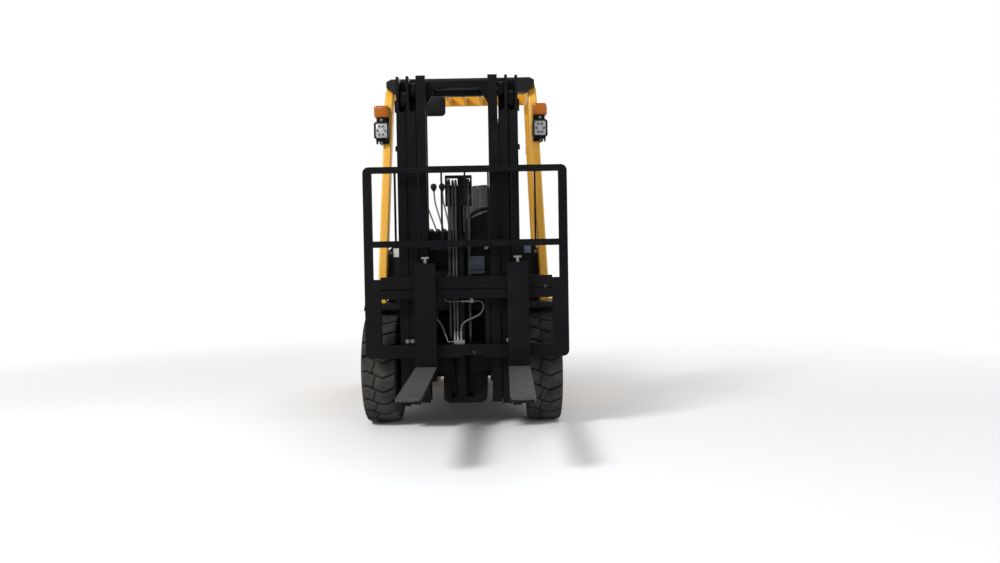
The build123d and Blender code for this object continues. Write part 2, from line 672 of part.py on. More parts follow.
# Hood and seat, hinged together at the rear
with BuildPart() as engine_hood:
    with BuildSketch(Plane.XZ.offset(-HOOD_Y[0])):
        with BuildLine():
            Polyline(
                (-HOOD_HALF, DECK_Z + SLIDE_GAP),
                (HOOD_HALF, DECK_Z + SLIDE_GAP),
                (HOOD_HALF - 20, HOOD_TOP - 60),
                (HOOD_HALF - 70, HOOD_TOP),
                (-HOOD_HALF + 70, HOOD_TOP),
                (-HOOD_HALF + 20, HOOD_TOP - 60),
                close=True,
            )
        make_face()
    extrude(amount=HOOD_Y[0] - HOOD_Y[1])
    fillet(engine_hood.edges().group_by(Axis.Y)[0].sort_by(Axis.Z)[-3:], radius=35)
    with BuildSketch(Plane.XZ.offset(-HOOD_Y[0] - HOOD_WALL)):
        with BuildLine():
            Polyline(
                (-HOOD_HALF + HOOD_WALL, DECK_Z),
                (HOOD_HALF - HOOD_WALL, DECK_Z),
                (HOOD_HALF - 20 - HOOD_WALL, HOOD_TOP - 60),
                (HOOD_HALF - 70 - HOOD_WALL, HOOD_TOP - HOOD_WALL),
                (-HOOD_HALF + 70 + HOOD_WALL, HOOD_TOP - HOOD_WALL),
                (-HOOD_HALF + 20 + HOOD_WALL, HOOD_TOP - 60),
                close=True,
            )
        make_face()
    extrude(amount=HOOD_Y[0] - HOOD_Y[1], mode=Mode.SUBTRACT)
    block((-HINGE_X[0], HINGE_X[0]), (HOOD_HINGE[0] - 46, HOOD_HINGE[0]), (HOOD_TOP, HOOD_TOP + 8))
    rod_x((-HINGE_X[0], HINGE_X[0]), *HOOD_HINGE, HINGE_R)
    rod_x((-HINGE_X[0], HINGE_X[0]), *HOOD_HINGE, HINGE_PIN_R + RUN_GAP, mode=Mode.SUBTRACT)
save(engine_hood, "engine_hood")

SEAT_Y = (HOOD_Y[0] + 120, HOOD_Y[1] - 92)
SEAT_HALF = 235
SEAT_Z = (HOOD_TOP + 60, HOOD_TOP + 165)
with BuildPart() as seat_base:
    block((-190, 190), (SEAT_Y[0] + 30, SEAT_Y[1] + 20), (HOOD_TOP, SEAT_Z[0]))
    for sign in (-1, 1):
        arm = sorted((sign * 180, sign * (SEAT_HALF + 12)))
        block(arm, (SEAT_Y[1] - 70, SEAT_Y[1]), (SEAT_Z[0] - 14, SEAT_Z[0]))
        side_plate(
            [
                (SEAT_Y[1] - 70, SEAT_Z[0] - 14),
                (SEAT_Y[1], SEAT_Z[0] - 14),
                (SEAT_Y[1] + 110, SEAT_Z[0] + 150),
                (SEAT_Y[1] + 50, SEAT_Z[0] + 190),
            ],
            sorted((sign * (SEAT_HALF + FIT_GAP), sign * (SEAT_HALF + 12))),
        )
save(seat_base, "seat_base")

with BuildPart() as seat_cushion:
    block((-SEAT_HALF, SEAT_HALF), SEAT_Y, SEAT_Z)
    fillet(seat_cushion.edges(), radius=38)
save(seat_cushion, "seat_cushion")

BACK_TOP = HOOD_TOP + 650
SHOULDER_HALF = 195
BACK_T = 105
with BuildPart() as seat_back:
    back_plane = Plane(origin=(0, SEAT_Y[1] + 2, SEAT_Z[0] + 20), x_dir=(-1, 0, 0), z_dir=(0, 1, -0.14))
    with BuildSketch(back_plane):
        with BuildLine():
            Polyline(
                (-SEAT_HALF, 20),
                (-SEAT_HALF, 120),
                (-SHOULDER_HALF, 210),
                (-SHOULDER_HALF, BACK_TOP - SEAT_Z[0] - 80),
                (-0.8 * SHOULDER_HALF, BACK_TOP - SEAT_Z[0] - 20),
                (0.8 * SHOULDER_HALF, BACK_TOP - SEAT_Z[0] - 20),
                (SHOULDER_HALF, BACK_TOP - SEAT_Z[0] - 80),
                (SHOULDER_HALF, 210),
                (SEAT_HALF, 120),
                (SEAT_HALF, 20),
                close=True,
            )
        make_face()
    extrude(amount=BACK_T)
    fillet(seat_back.edges(), radius=24)
save(seat_back, "seat_back")

# Overhead guard
GUARD_LEAN = (GUARD_BASE_X - GUARD_TOP_X) / (GUARD_TOP - DECK_Z)
GUARD_UP = Vector(-GUARD_LEAN, 0, 1).normalized()
GUARD_RAIL_Z = GUARD_TOP - GUARD_D / 2


def guard_point(y, z):
    """Places a point of the guard's left side in the leaning plane that its tubes lie in."""
    return Vector(GUARD_BASE_X - (z - DECK_Z) * GUARD_LEAN, y, z)


def rail_z(y):
    """Gives the height of the roof rails' centre line, which climbs to the rear."""
    share = (y - GUARD_FRONT_TOP_Y) / (GUARD_REAR_TOP_Y - GUARD_FRONT_TOP_Y)
    return GUARD_RAIL_Z + GUARD_RISE * share


def pillar_y(base, top, z):
    """Gives the y of a pillar's centre line at a height, from its (y, z) base and top."""
    return top[0] + (base[0] - top[0]) * (top[1] - z) / (top[1] - base[1])


def guard_tube(points, radius):
    """Sweeps one rectangular tube of the guard's left side along its bent centre line."""
    with BuildLine() as centre_line:
        FilletPolyline(*points, radius=radius)
    start = points[1] - points[0]
    with BuildSketch(Plane(origin=points[0], x_dir=GUARD_UP.cross(Vector(0, 1, 0)), z_dir=start)) as section:
        RectangleRounded(GUARD_W, GUARD_D, 12)
    sweep(section.sketch, path=centre_line.line)


PILLAR_FOOT_Z = FRONT_TYRE_R + FENDER_R + FENDER_T
GUARD_MIDDLE_Y = (GUARD_FRONT_TOP_Y + GUARD_REAR_TOP_Y) / 2
with BuildPart() as guard_front:
    guard_tube(
        [
            guard_point(GUARD_FRONT_BASE_Y, PILLAR_FOOT_Z),
            guard_point(GUARD_FRONT_TOP_Y, GUARD_RAIL_Z),
            guard_point(GUARD_MIDDLE_Y, rail_z(GUARD_MIDDLE_Y)),
        ],
        130,
    )
    block(
        (GUARD_BASE_X - 34, GUARD_BASE_X + 48),
        (GUARD_FRONT_BASE_Y - 60, GUARD_FRONT_BASE_Y + 60),
        (PILLAR_FOOT_Z, PILLAR_FOOT_Z + 12),
    )
    block((0, 2 * GUARD_BASE_X), (FORK_TIP_Y, REAR_Y), (0, PILLAR_FOOT_Z), mode=Mode.SUBTRACT)
    mirror(about=Plane.YZ)
save(guard_front, "guard_front_pillars")

with BuildPart() as guard_rear:
    guard_tube(
        [
            guard_point(GUARD_REAR_BASE_Y, CW_TOP),
            guard_point(GUARD_REAR_TOP_Y, rail_z(GUARD_REAR_TOP_Y)),
            guard_point(GUARD_MIDDLE_Y + FIT_GAP, rail_z(GUARD_MIDDLE_Y + FIT_GAP)),
        ],
        130,
    )
    block((0, 2 * GUARD_BASE_X), (FORK_TIP_Y, REAR_Y), (0, CW_TOP), mode=Mode.SUBTRACT)
    mirror(about=Plane.YZ)
save(guard_rear, "guard_rear_pillars")

ROOF_BARS = 7
ROOF_PITCH = 118
ROOF_BAR_H = 46
REAR_BEAM = (50, 80)
with BuildPart() as guard_roof:
    roof_y = (GUARD_FRONT_TOP_Y + 10, GUARD_REAR_TOP_Y - 40)
    roof_top = rail_z(roof_y[1]) + GUARD_D / 2
    block((-GUARD_TOP_X, GUARD_TOP_X), (roof_y[1] - REAR_BEAM[0], roof_y[1]), (roof_top - REAR_BEAM[1], roof_top))
    for step in range(ROOF_BARS):
        x = (step - (ROOF_BARS - 1) / 2) * ROOF_PITCH
        side_plate(
            [
                (roof_y[0], rail_z(roof_y[0]) - ROOF_BAR_H / 2),
                (roof_y[1] - 1, rail_z(roof_y[1]) - ROOF_BAR_H / 2),
                (roof_y[1] - 1, rail_z(roof_y[1]) + ROOF_BAR_H / 2),
                (roof_y[0], rail_z(roof_y[0]) + ROOF_BAR_H / 2),
            ],
            (x - 10, x + 10),
        )
    add(guard_front.part, mode=Mode.SUBTRACT)
    add(guard_rear.part, mode=Mode.SUBTRACT)
save(guard_roof, "guard_roof")

# Front header, with cut corners
CAP_HALF = 484
CAP_Z = (GUARD_TOP - 85, GUARD_TOP - 45, GUARD_TOP - 8, GUARD_TOP + 12)
CAP_FRONT = GUARD_FRONT_TOP_Y - 80
with BuildPart() as roof_cap:
    with BuildSketch(Plane.XZ.offset(-CAP_FRONT)):
        with BuildLine():
            Polyline(
                (-CAP_HALF + 60, CAP_Z[0]),
                (CAP_HALF - 60, CAP_Z[0]),
                (CAP_HALF, CAP_Z[1]),
                (CAP_HALF, CAP_Z[2]),
                (CAP_HALF - 30, CAP_Z[3]),
                (-CAP_HALF + 30, CAP_Z[3]),
                (-CAP_HALF, CAP_Z[2]),
                (-CAP_HALF, CAP_Z[1]),
                close=True,
            )
        make_face()
    extrude(amount=CAP_FRONT - roof_y[0] + FIT_GAP)
    chamfer(roof_cap.faces().sort_by(Axis.Y)[0].edges().sort_by(Axis.Z)[-1], length=14)
    add(guard_front.part, mode=Mode.SUBTRACT)
save(roof_cap, "roof_cap")

# Lamps and mirror
LAMP_W = 94
SIGNAL_H = 78
LAMP_H = 112
LAMP_RIM = 9
LAMP_X = GUARD_TOP_X + 49
SIGNAL_Z = GUARD_TOP - 205
WORK_Z = SIGNAL_Z - 124
LAMP_D = 55
FRONT_BASE = (GUARD_FRONT_BASE_Y, PILLAR_FOOT_Z)
FRONT_TOP = (GUARD_FRONT_TOP_Y, GUARD_RAIL_Z)
REAR_BASE = (GUARD_REAR_BASE_Y, CW_TOP)
REAR_TOP = (GUARD_REAR_TOP_Y, rail_z(GUARD_REAR_TOP_Y))
LAMP_SPAN = (LAMP_X - LAMP_W / 2, LAMP_X + LAMP_W / 2)
LAMP_BACK = pillar_y(FRONT_BASE, FRONT_TOP, SIGNAL_Z) - GUARD_D / 2 - 20
with BuildPart() as turn_signals:
    block(LAMP_SPAN, (LAMP_BACK - LAMP_D, LAMP_BACK), (SIGNAL_Z - SIGNAL_H / 2, SIGNAL_Z + SIGNAL_H / 2))
    fillet(turn_signals.faces().sort_by(Axis.Y)[0].edges(), radius=12)
    mirror(about=Plane.YZ)
save(turn_signals, "turn_signals")

with BuildPart() as work_lamps:
    block(LAMP_SPAN, (LAMP_BACK - LAMP_D, LAMP_BACK), (WORK_Z - LAMP_H / 2, WORK_Z + LAMP_H / 2))
    fillet(work_lamps.edges().filter_by(Axis.Y), radius=18)
    block(
        (LAMP_SPAN[0] + LAMP_RIM, LAMP_SPAN[1] - LAMP_RIM),
        (LAMP_BACK - LAMP_D - 1, LAMP_BACK - LAMP_D + LAMP_RIM),
        (WORK_Z - LAMP_H / 2 + LAMP_RIM, WORK_Z + LAMP_H / 2 - LAMP_RIM),
        mode=Mode.SUBTRACT,
    )
    block((LAMP_X - 45, LAMP_X + 20), (LAMP_BACK, LAMP_BACK + 34), (WORK_Z - 80, SIGNAL_Z + 40))
    mirror(about=Plane.YZ)
    add(guard_front.part, mode=Mode.SUBTRACT)
    add(turn_signals.part, mode=Mode.SUBTRACT)
save(work_lamps, "work_lamps")

with BuildPart() as rear_lamps:
    for z in (SIGNAL_Z - 115, SIGNAL_Z - 35):
        spot = guard_point(pillar_y(REAR_BASE, REAR_TOP, z), z)
        block((spot.X - 26, spot.X + 26), (spot.Y + 30, spot.Y + GUARD_D / 2 + 50), (z - 34, z + 34))
    mirror(about=Plane.YZ)
    add(guard_rear.part, mode=Mode.SUBTRACT)
save(rear_lamps, "rear_lamps")

MIRROR_X = -210
MIRROR_W = 220
MIRROR_H = 132
MIRROR_Z = CAP_Z[0] - MIRROR_H / 2 - 16
with BuildPart() as mirror_glass:
    with BuildSketch(Plane.XZ.offset(-roof_y[0] + 70)):
        with Locations((MIRROR_X, MIRROR_Z)):
            RectangleRounded(MIRROR_W, MIRROR_H, 28)
    extrude(amount=28)
    block((MIRROR_X - 24, MIRROR_X + 24), (roof_y[0] - 80, roof_y[0] - 40), (MIRROR_Z + MIRROR_H / 2 - 2, CAP_Z[0]))
save(mirror_glass, "rear_view_mirror")

# Outer mast: rails, cross members, axle clamps, tilt brackets and top guide rollers
OUTER_BEAM = (OUTER_REAR, OUTER_REAR + OUTER_BEAM_T)
FREE_TOP = MAST_BOTTOM + 1024
TIE_LOW = (MAST_BOTTOM + 192, MAST_BOTTOM + 300)
OUTER_TIES = (
    TIE_LOW,
    (FREE_TOP - 212, FREE_TOP - 82),
    (MAST_TOP - 92, MAST_TOP - 56),
)
BOSS_T = 10
RAIL_BOSSES = ((MAST_TOP - 210, MAST_TOP - 140), (MAST_TOP - 442, MAST_TOP - 412))
with BuildPart() as outer_mast:
    rail(OUTER_X, OUTER_FRONT, OUTER_REAR, MAST_BOTTOM)
    flange_notch(OUTER_X, OUTER_FRONT)
    block((OUTER_X[0] - RAIL_LIP, OUTER_X[0]), (OUTER_REAR - FLANGE_T, OUTER_REAR), (MAST_BOTTOM, MAST_TOP))
    for low, high in RAIL_BOSSES:
        block((OUTER_X[1], OUTER_X[1] + BOSS_T), (OUTER_FRONT + BOSS_T, OUTER_FRONT + 4 * BOSS_T), (low, high))
    roller_r = (OUTER_REAR - OUTER_FRONT) / 2 - FLANGE_T - 1
    roller_y = (OUTER_REAR + OUTER_FRONT) / 2
    rod_x((OUTER_X[0] + 2, OUTER_X[0] + 2 + ROLLER_W), roller_y, MAST_TOP - 140, roller_r)
    rod_x((OUTER_X[0] + 2 + ROLLER_W, OUTER_X[1]), roller_y, MAST_TOP - 140, 22)
    rod_x(PIVOT_X, FRONT_AXLE_Y, FRONT_TYRE_R, AXLE_R + 32)
    side_plate(
        [
            (OUTER_REAR, FRONT_TYRE_R - 140),
            (FRONT_AXLE_Y - 30, FRONT_TYRE_R - 104),
            (FRONT_AXLE_Y - 30, FRONT_TYRE_R + 104),
            (OUTER_REAR, FRONT_TYRE_R + 200),
        ],
        PIVOT_X,
    )
    rod_x(PIVOT_X, FRONT_AXLE_Y, FRONT_TYRE_R, AXLE_R + RUN_GAP, mode=Mode.SUBTRACT)
    for low in (TILT_X - 40, TILT_X + 22):
        side_plate(
            [
                (OUTER_REAR, TILT_MAST_PIN[1] - 70),
                (TILT_MAST_PIN[0] + 26, TILT_MAST_PIN[1] - 26),
                (TILT_MAST_PIN[0] + 26, TILT_MAST_PIN[1] + 26),
                (OUTER_REAR, TILT_MAST_PIN[1] + 70),
            ],
            (low, low + 18),
        )
    rod_x((TILT_X - 40, TILT_X + 40), *TILT_MAST_PIN, PIN_R)
    block((LIFT_X - 50, OUTER_X[1]), (OUTER_REAR, OUTER_BEAM[1] + 75), (MAST_BOTTOM + 12, LIFT_BARREL[0]))
    mirror(about=Plane.YZ)
    for low, high in OUTER_TIES:
        block((-OUTER_X[1], OUTER_X[1]), OUTER_BEAM, (low, high))
save(outer_mast, "outer_mast")

# Lift cylinders behind the outer rails
LIFT_Y = OUTER_BEAM[1] + 4 + LIFT_R
MIDDLE_TIES = (
    TIE_LOW,
    (FREE_TOP - 52, FREE_TOP + 28),
    (MAST_TOP - 48, MAST_TOP - 6),
)
with BuildPart() as lift_barrels:
    for x in (-LIFT_X, LIFT_X):
        rod_z(x, LIFT_Y, LIFT_BARREL, LIFT_R)
        rod_z(x, LIFT_Y, (LIFT_BARREL[0] + 20, LIFT_BARREL[1] + 1), LIFT_ROD_R + RUN_GAP, mode=Mode.SUBTRACT)
        strap = (OUTER_TIES[1][0] + 30, OUTER_TIES[1][1] - 20)
        block((x - 24, x + 24), (OUTER_BEAM[1], LIFT_Y - LIFT_ROD_R - 2), strap)
save(lift_barrels, "lift_cylinder_barrels")

with BuildPart() as lift_rods:
    for x in (-LIFT_X, LIFT_X):
        rod_z(x, LIFT_Y, (LIFT_BARREL[0] + 30, MIDDLE_TIES[2][0]), LIFT_ROD_R)
save(lift_rods, "lift_cylinder_rods")

# Intermediate mast, with its cross members and rollers
MIDDLE_BEAM = (MIDDLE_REAR, MIDDLE_REAR + BEAM_T)
with BuildPart() as middle_mast:
    rail(MIDDLE_X, MIDDLE_FRONT, MIDDLE_REAR, MAST_BOTTOM + 12)
    flange_notch(MIDDLE_X, MIDDLE_FRONT)
    roller_r = (MIDDLE_REAR - MIDDLE_FRONT) / 2 - FLANGE_T - 1
    roller_y = (MIDDLE_REAR + MIDDLE_FRONT) / 2
    rod_x((MIDDLE_X[0] + 2, MIDDLE_X[0] + 2 + ROLLER_W), roller_y, MAST_TOP - 80, roller_r)
    rod_x((MIDDLE_X[0] + 2 + ROLLER_W, MIDDLE_X[1]), roller_y, MAST_TOP - 80, 20)
    low_r = (OUTER_REAR - OUTER_FRONT) / 2 - FLANGE_T - RUN_GAP
    low_y = (OUTER_REAR + OUTER_FRONT) / 2
    rod_x((OUTER_X[0] + 4, OUTER_X[0] + 4 + ROLLER_W), low_y, MAST_BOTTOM + 90, low_r)
    rod_x((MIDDLE_X[1] - 8, OUTER_X[0] + 6), low_y, MAST_BOTTOM + 90, 22)
    side_plate(
        [
            (MIDDLE_REAR, MIDDLE_TIES[2][0]),
            (LIFT_Y + 34, MIDDLE_TIES[2][0]),
            (LIFT_Y + 34, MIDDLE_TIES[2][0] + 24),
            (MIDDLE_REAR, MIDDLE_TIES[2][1]),
        ],
        (LIFT_X - 26, LIFT_X + 26),
    )
    mirror(about=Plane.YZ)
    for low, high in MIDDLE_TIES:
        block((-MIDDLE_X[1] + MOVE_GAP, MIDDLE_X[1] - MOVE_GAP), MIDDLE_BEAM, (low, high))
save(middle_mast, "intermediate_mast")

# Inner mast, with the shelf that carries the free-lift cylinder
INNER_BEAM = (INNER_REAR, INNER_REAR + BEAM_T)
SHEAVE_X = (50, 68)
CHAIN_X = (SHEAVE_X[0] + SHEAVE_X[1]) / 2
SHEAVE_R = 40
CHAIN_ANCHOR_Z = (FREE_TOP - 62, FREE_TOP - 44)
FREE_Y = (INNER_FRONT + INNER_REAR) / 2
FREE_BASE = MAST_BOTTOM + 52
INNER_TIES = (TIE_LOW, (FREE_TOP - 62, FREE_TOP))
SHELF_HALF = 70
GUSSET_Z = (MAST_TOP - 143, MAST_TOP - 66)
ARCH_Z = (MAST_TOP - 48, MAST_TOP - 12)
LINE_R = 6
LINE_X = (-35, -17)
LINE_BACK = INNER_BEAM[0] - SLIDE_GAP - LINE_R
LINE_STAY = FREE_TOP + 12
with BuildPart() as inner_mast:
    rail(INNER_X, INNER_FRONT, INNER_REAR, MAST_BOTTOM + 24)
    low_r = (MIDDLE_REAR - MIDDLE_FRONT) / 2 - FLANGE_T - RUN_GAP
    low_y = (MIDDLE_REAR + MIDDLE_FRONT) / 2
    rod_x((MIDDLE_X[0] + 4, MIDDLE_X[0] + 4 + ROLLER_W), low_y, MAST_BOTTOM + 110, low_r)
    rod_x((INNER_X[1] - 8, MIDDLE_X[0] + 6), low_y, MAST_BOTTOM + 110, 22)
    mirror(about=Plane.YZ)
    for low, high in INNER_TIES:
        block((-INNER_X[1], INNER_X[1]), INNER_BEAM, (low, high))
    with BuildSketch(Plane.XZ.offset(-INNER_BEAM[0])):
        with BuildLine():
            Polyline(
                (-INNER_X[1], GUSSET_Z[0]),
                (-INNER_X[0] + 5, GUSSET_Z[0]),
                (-INNER_X[0] + 48, GUSSET_Z[1]),
                (-INNER_X[0] + 66, ARCH_Z[0]),
                (INNER_X[0] - 66, ARCH_Z[0]),
                (INNER_X[0] - 48, GUSSET_Z[1]),
                (INNER_X[0] - 5, GUSSET_Z[0]),
                (INNER_X[1], GUSSET_Z[0]),
                (INNER_X[1], ARCH_Z[1]),
                (-INNER_X[1], ARCH_Z[1]),
                close=True,
            )
        make_face()
    extrude(amount=-BEAM_T)
    block((-SHELF_HALF, SHELF_HALF), (FREE_Y - SHEAVE_R + SLIDE_GAP, INNER_BEAM[0]), (MAST_BOTTOM + 24, FREE_BASE))
    block((-SHELF_HALF, SHELF_HALF), INNER_BEAM, (MAST_BOTTOM + 24, TIE_LOW[0]))
    block((LINE_X[0] - 10, LINE_X[1] + 10), (LINE_BACK - 10, INNER_BEAM[1]), (FREE_TOP, LINE_STAY))
    for sign in (-1, 1):
        anchor = sorted((sign * (SHEAVE_X[0] - 4), sign * (SHEAVE_X[1] + 4)))
        block(anchor, (FREE_Y + SHEAVE_R - 4, INNER_BEAM[0]), CHAIN_ANCHOR_Z)
save(inner_mast, "inner_mast")

with BuildPart() as free_barrel:
    rod_z(0, FREE_Y, (FREE_BASE, FREE_TOP), FREE_R)
    rod_z(0, FREE_Y, (FREE_TOP - 60, FREE_TOP), FREE_R + 4)
    block((-30, 30), (FREE_Y, INNER_BEAM[0]), (FREE_TOP - 55, FREE_TOP - 5))
    rod_z(0, FREE_Y, (FREE_BASE + 20, FREE_TOP + 1), FREE_ROD_R + RUN_GAP, mode=Mode.SUBTRACT)
save(free_barrel, "free_lift_barrel")

# Free-lift rod with its crosshead and chain sheaves
HEAD = (FREE_TOP + 180, FREE_TOP + 363)
HEAD_HALF = SHEAVE_X[1] + 12
HEAD_D = 34
SHEAVE_Z = HEAD[0] + 110
with BuildPart() as free_head:
    rod_z(0, FREE_Y, (FREE_BASE + 240, HEAD[0] + 20), FREE_ROD_R)
    block((-HEAD_HALF, HEAD_HALF), (FREE_Y - HEAD_D, FREE_Y + HEAD_D), (HEAD[0], HEAD[0] + 40))
    block((-HEAD_HALF, HEAD_HALF), (FREE_Y - HEAD_D, FREE_Y + HEAD_D), (HEAD[1] - 14, HEAD[1]))
    for sign in (-1, 1):
        plate = sorted((sign * HEAD_HALF, sign * (HEAD_HALF - 10)))
        block(plate, (FREE_Y - HEAD_D, FREE_Y + HEAD_D), HEAD)
        sheave = sorted((sign * SHEAVE_X[0], sign * SHEAVE_X[1]))
        rod_x(sheave, FREE_Y, SHEAVE_Z, SHEAVE_R)
    rod_x((-HEAD_HALF, HEAD_HALF), FREE_Y, SHEAVE_Z, 14)
    block((-SHEAVE_X[0] - 1, SHEAVE_X[0] + 1), (FREE_Y - 20, FREE_Y + 20), (HEAD[0], SHEAVE_Z + 14))
    block((-5, SHEAVE_X[0] + 1), (FREE_Y - 20, FREE_Y + 20), (HEAD[0], HEAD[1] - 8))
save(free_head, "free_lift_head")

# Lift chains and hoses over the crosshead
CHAIN_T = 14
CHAIN_PITCH = 25
CHAIN_CUT = 4
CHAIN_LOW = CARRIAGE_BOTTOM + LOWER_BAR_H + 34
with BuildPart() as lift_chains:
    for sign in (-1, 1):
        span = sorted((sign * (SHEAVE_X[0] + 2), sign * (SHEAVE_X[1] - 2)))
        front = FREE_Y - SHEAVE_R - FIT_GAP
        back = FREE_Y + SHEAVE_R + FIT_GAP
        block(span, (front - CHAIN_T, front), (CHAIN_LOW, SHEAVE_Z))
        block(span, (back, back + CHAIN_T), (CHAIN_ANCHOR_Z[1], SHEAVE_Z))
        with BuildSketch(turned_plane(0, FREE_Y, SHEAVE_Z)):
            with Locations(((span[0] + span[1]) / 2, SHEAVE_R + FIT_GAP + CHAIN_T / 2)):
                Rectangle(span[1] - span[0], CHAIN_T)
        revolve(axis=Axis((0, FREE_Y, SHEAVE_Z), (1, 0, 0)), revolution_arc=90)
        with BuildSketch(turned_plane(0, FREE_Y, SHEAVE_Z)):
            with Locations(((span[0] + span[1]) / 2, SHEAVE_R + FIT_GAP + CHAIN_T / 2)):
                Rectangle(span[1] - span[0], CHAIN_T)
        revolve(axis=Axis((0, FREE_Y, SHEAVE_Z), (1, 0, 0)), revolution_arc=-90)
    links = int((SHEAVE_Z - CHAIN_LOW) / CHAIN_PITCH)
    joints = [CHAIN_LOW + CHAIN_PITCH * (step + 0.5) for step in range(links)]
    with Locations(*[(x, front - CHAIN_T, z) for x in (-CHAIN_X, CHAIN_X) for z in joints]):
        Box(SHEAVE_X[1], 2 * CHAIN_CUT, CHAIN_CUT, mode=Mode.SUBTRACT)
save(lift_chains, "lift_chains")

LINE_Y = FREE_Y - FREE_R - 4 - SLIDE_GAP - LINE_R
LINE_BEND = (LINE_BACK - LINE_Y) / 2
LINE_LOW = CARRIAGE_BOTTOM + LOWER_BAR_H + 22
LINE_TURN = SHEAVE_Z - 14
with BuildPart() as lift_hoses:
    for x in LINE_X:
        with BuildLine() as hose_run:
            Line((x, LINE_Y, LINE_LOW), (x, LINE_Y, LINE_TURN))
            ThreePointArc(
                (x, LINE_Y, LINE_TURN),
                (x, LINE_Y + LINE_BEND, LINE_TURN + LINE_BEND),
                (x, LINE_BACK, LINE_TURN),
            )
            Line((x, LINE_BACK, LINE_TURN), (x, LINE_BACK, LINE_STAY))
        with BuildSketch(Plane(origin=(x, LINE_Y, LINE_LOW), z_dir=(0, 0, 1))):
            Circle(LINE_R)
        sweep(path=hose_run.line)
save(lift_hoses, "lift_hoses")

# Lift carriage: roller plates inside the inner rails and two slide rails for the side shifter
SLIDE_Y = (INNER_FRONT - MOVE_GAP - SLIDE_T, INNER_FRONT - MOVE_GAP)
BAR_Y = (FORK_FACE_Y + FORK_T, FORK_FACE_Y + FORK_T + BAR_T)
PLATE_X = (INNER_X[0] - 36, INNER_X[0] - 10)
PAD_X = 300
CARRIAGE_HALF_SLIDE = 400
CAR_ROLLER_R = INNER_DEPTH / 2 - FLANGE_T - RUN_GAP
LOWER_Z = (CARRIAGE_BOTTOM, CARRIAGE_BOTTOM + LOWER_BAR_H)
UPPER_Z = (CARRIAGE_TOP - UPPER_BAR_H - SLOT_H - UPPER_RAIL_H, CARRIAGE_TOP)
with BuildPart() as lift_carriage:
    side_plate(
        [
            (SLIDE_Y[1], LOWER_Z[0] + 8),
            (FREE_Y + CAR_ROLLER_R, LOWER_Z[0] + 40),
            (FREE_Y + CAR_ROLLER_R, UPPER_Z[1] - 20),
            (SLIDE_Y[1], UPPER_Z[1] - 12),
        ],
        PLATE_X,
    )
    for z in (LOWER_Z[0] + 90, UPPER_Z[1] - 70):
        rod_x((INNER_X[0] + 4, INNER_X[0] + 4 + ROLLER_W), FREE_Y, z, CAR_ROLLER_R)
        rod_x((PLATE_X[0] + 6, INNER_X[0] + 6), FREE_Y, z, 20)
    mirror(about=Plane.YZ)
    block((-CARRIAGE_HALF_SLIDE, CARRIAGE_HALF_SLIDE), SLIDE_Y, (LOWER_Z[0] + 6, LOWER_Z[1] - 6))
    block((-CARRIAGE_HALF_SLIDE, CARRIAGE_HALF_SLIDE), SLIDE_Y, (UPPER_Z[0] + 10, UPPER_Z[1] - 12))
    for x in (-PAD_X, PAD_X):
        for middle in ((LOWER_Z[0] + LOWER_Z[1]) / 2, CARRIAGE_TOP - UPPER_BAR_H / 2):
            block((x - 60, x + 60), (BAR_Y[1] + RUN_GAP, SLIDE_Y[0]), (middle - 20, middle + 20))
    for x in (-CHAIN_X, CHAIN_X):
        block((x - 16, x + 16), (SLIDE_Y[1], FREE_Y - SHEAVE_R), (LOWER_Z[1] - 26, LOWER_Z[1] - 6))
        rod_z(x, FREE_Y - SHEAVE_R - FIT_GAP - CHAIN_T / 2, (LOWER_Z[1] - 10, CHAIN_LOW), 9)
    for x in (-PAD_X, PAD_X):
        block((x - 30, x + 30), (BAR_Y[1] + RUN_GAP, SLIDE_Y[1]), (LOWER_Z[1] - 30, LOWER_Z[1] + 40))
save(lift_carriage, "lift_carriage")

# Side-shifting fork carrier
NOTCH_X = SIDE_SHIFT + 39
BAR_NOTCHES = 4
BAR_NOTCH_PITCH = 101
with BuildPart() as fork_carrier:
    block(
        (SIDE_SHIFT - CARRIAGE_HALF, SIDE_SHIFT + CARRIAGE_HALF),
        BAR_Y,
        (CARRIAGE_TOP - UPPER_BAR_H, CARRIAGE_TOP),
    )
    block((SIDE_SHIFT - CARRIAGE_HALF, SIDE_SHIFT + CARRIAGE_HALF), BAR_Y, (UPPER_Z[0], UPPER_Z[0] + UPPER_RAIL_H))
    block(
        (SIDE_SHIFT - CARRIAGE_HALF, SIDE_SHIFT + CARRIAGE_HALF),
        (BAR_Y[0] + 14, BAR_Y[1]),
        (UPPER_Z[0], CARRIAGE_TOP),
    )
    block((SIDE_SHIFT - CARRIAGE_HALF, SIDE_SHIFT + CARRIAGE_HALF), BAR_Y, LOWER_Z)
    block(
        (NOTCH_X - 64, NOTCH_X + 64),
        (BAR_Y[0] - 1, BAR_Y[1] + 1),
        (LOWER_Z[0] - 1, LOWER_Z[0] + 14),
        mode=Mode.SUBTRACT,
    )
    for step in range(-BAR_NOTCHES, BAR_NOTCHES + 1):
        x = SIDE_SHIFT + step * BAR_NOTCH_PITCH
        block((x - 7, x + 7), (BAR_Y[0] - 1, BAR_Y[0] + 12), (CARRIAGE_TOP - 9, CARRIAGE_TOP + 1), mode=Mode.SUBTRACT)
    for sign in (-1, 1):
        end = sorted((SIDE_SHIFT + sign * CARRIAGE_HALF, SIDE_SHIFT + sign * (BACKREST_HALF - BACKREST_LEG)))
        block(end, BAR_Y, (LOWER_Z[0], CARRIAGE_TOP - 14))
save(fork_carrier, "fork_carrier")

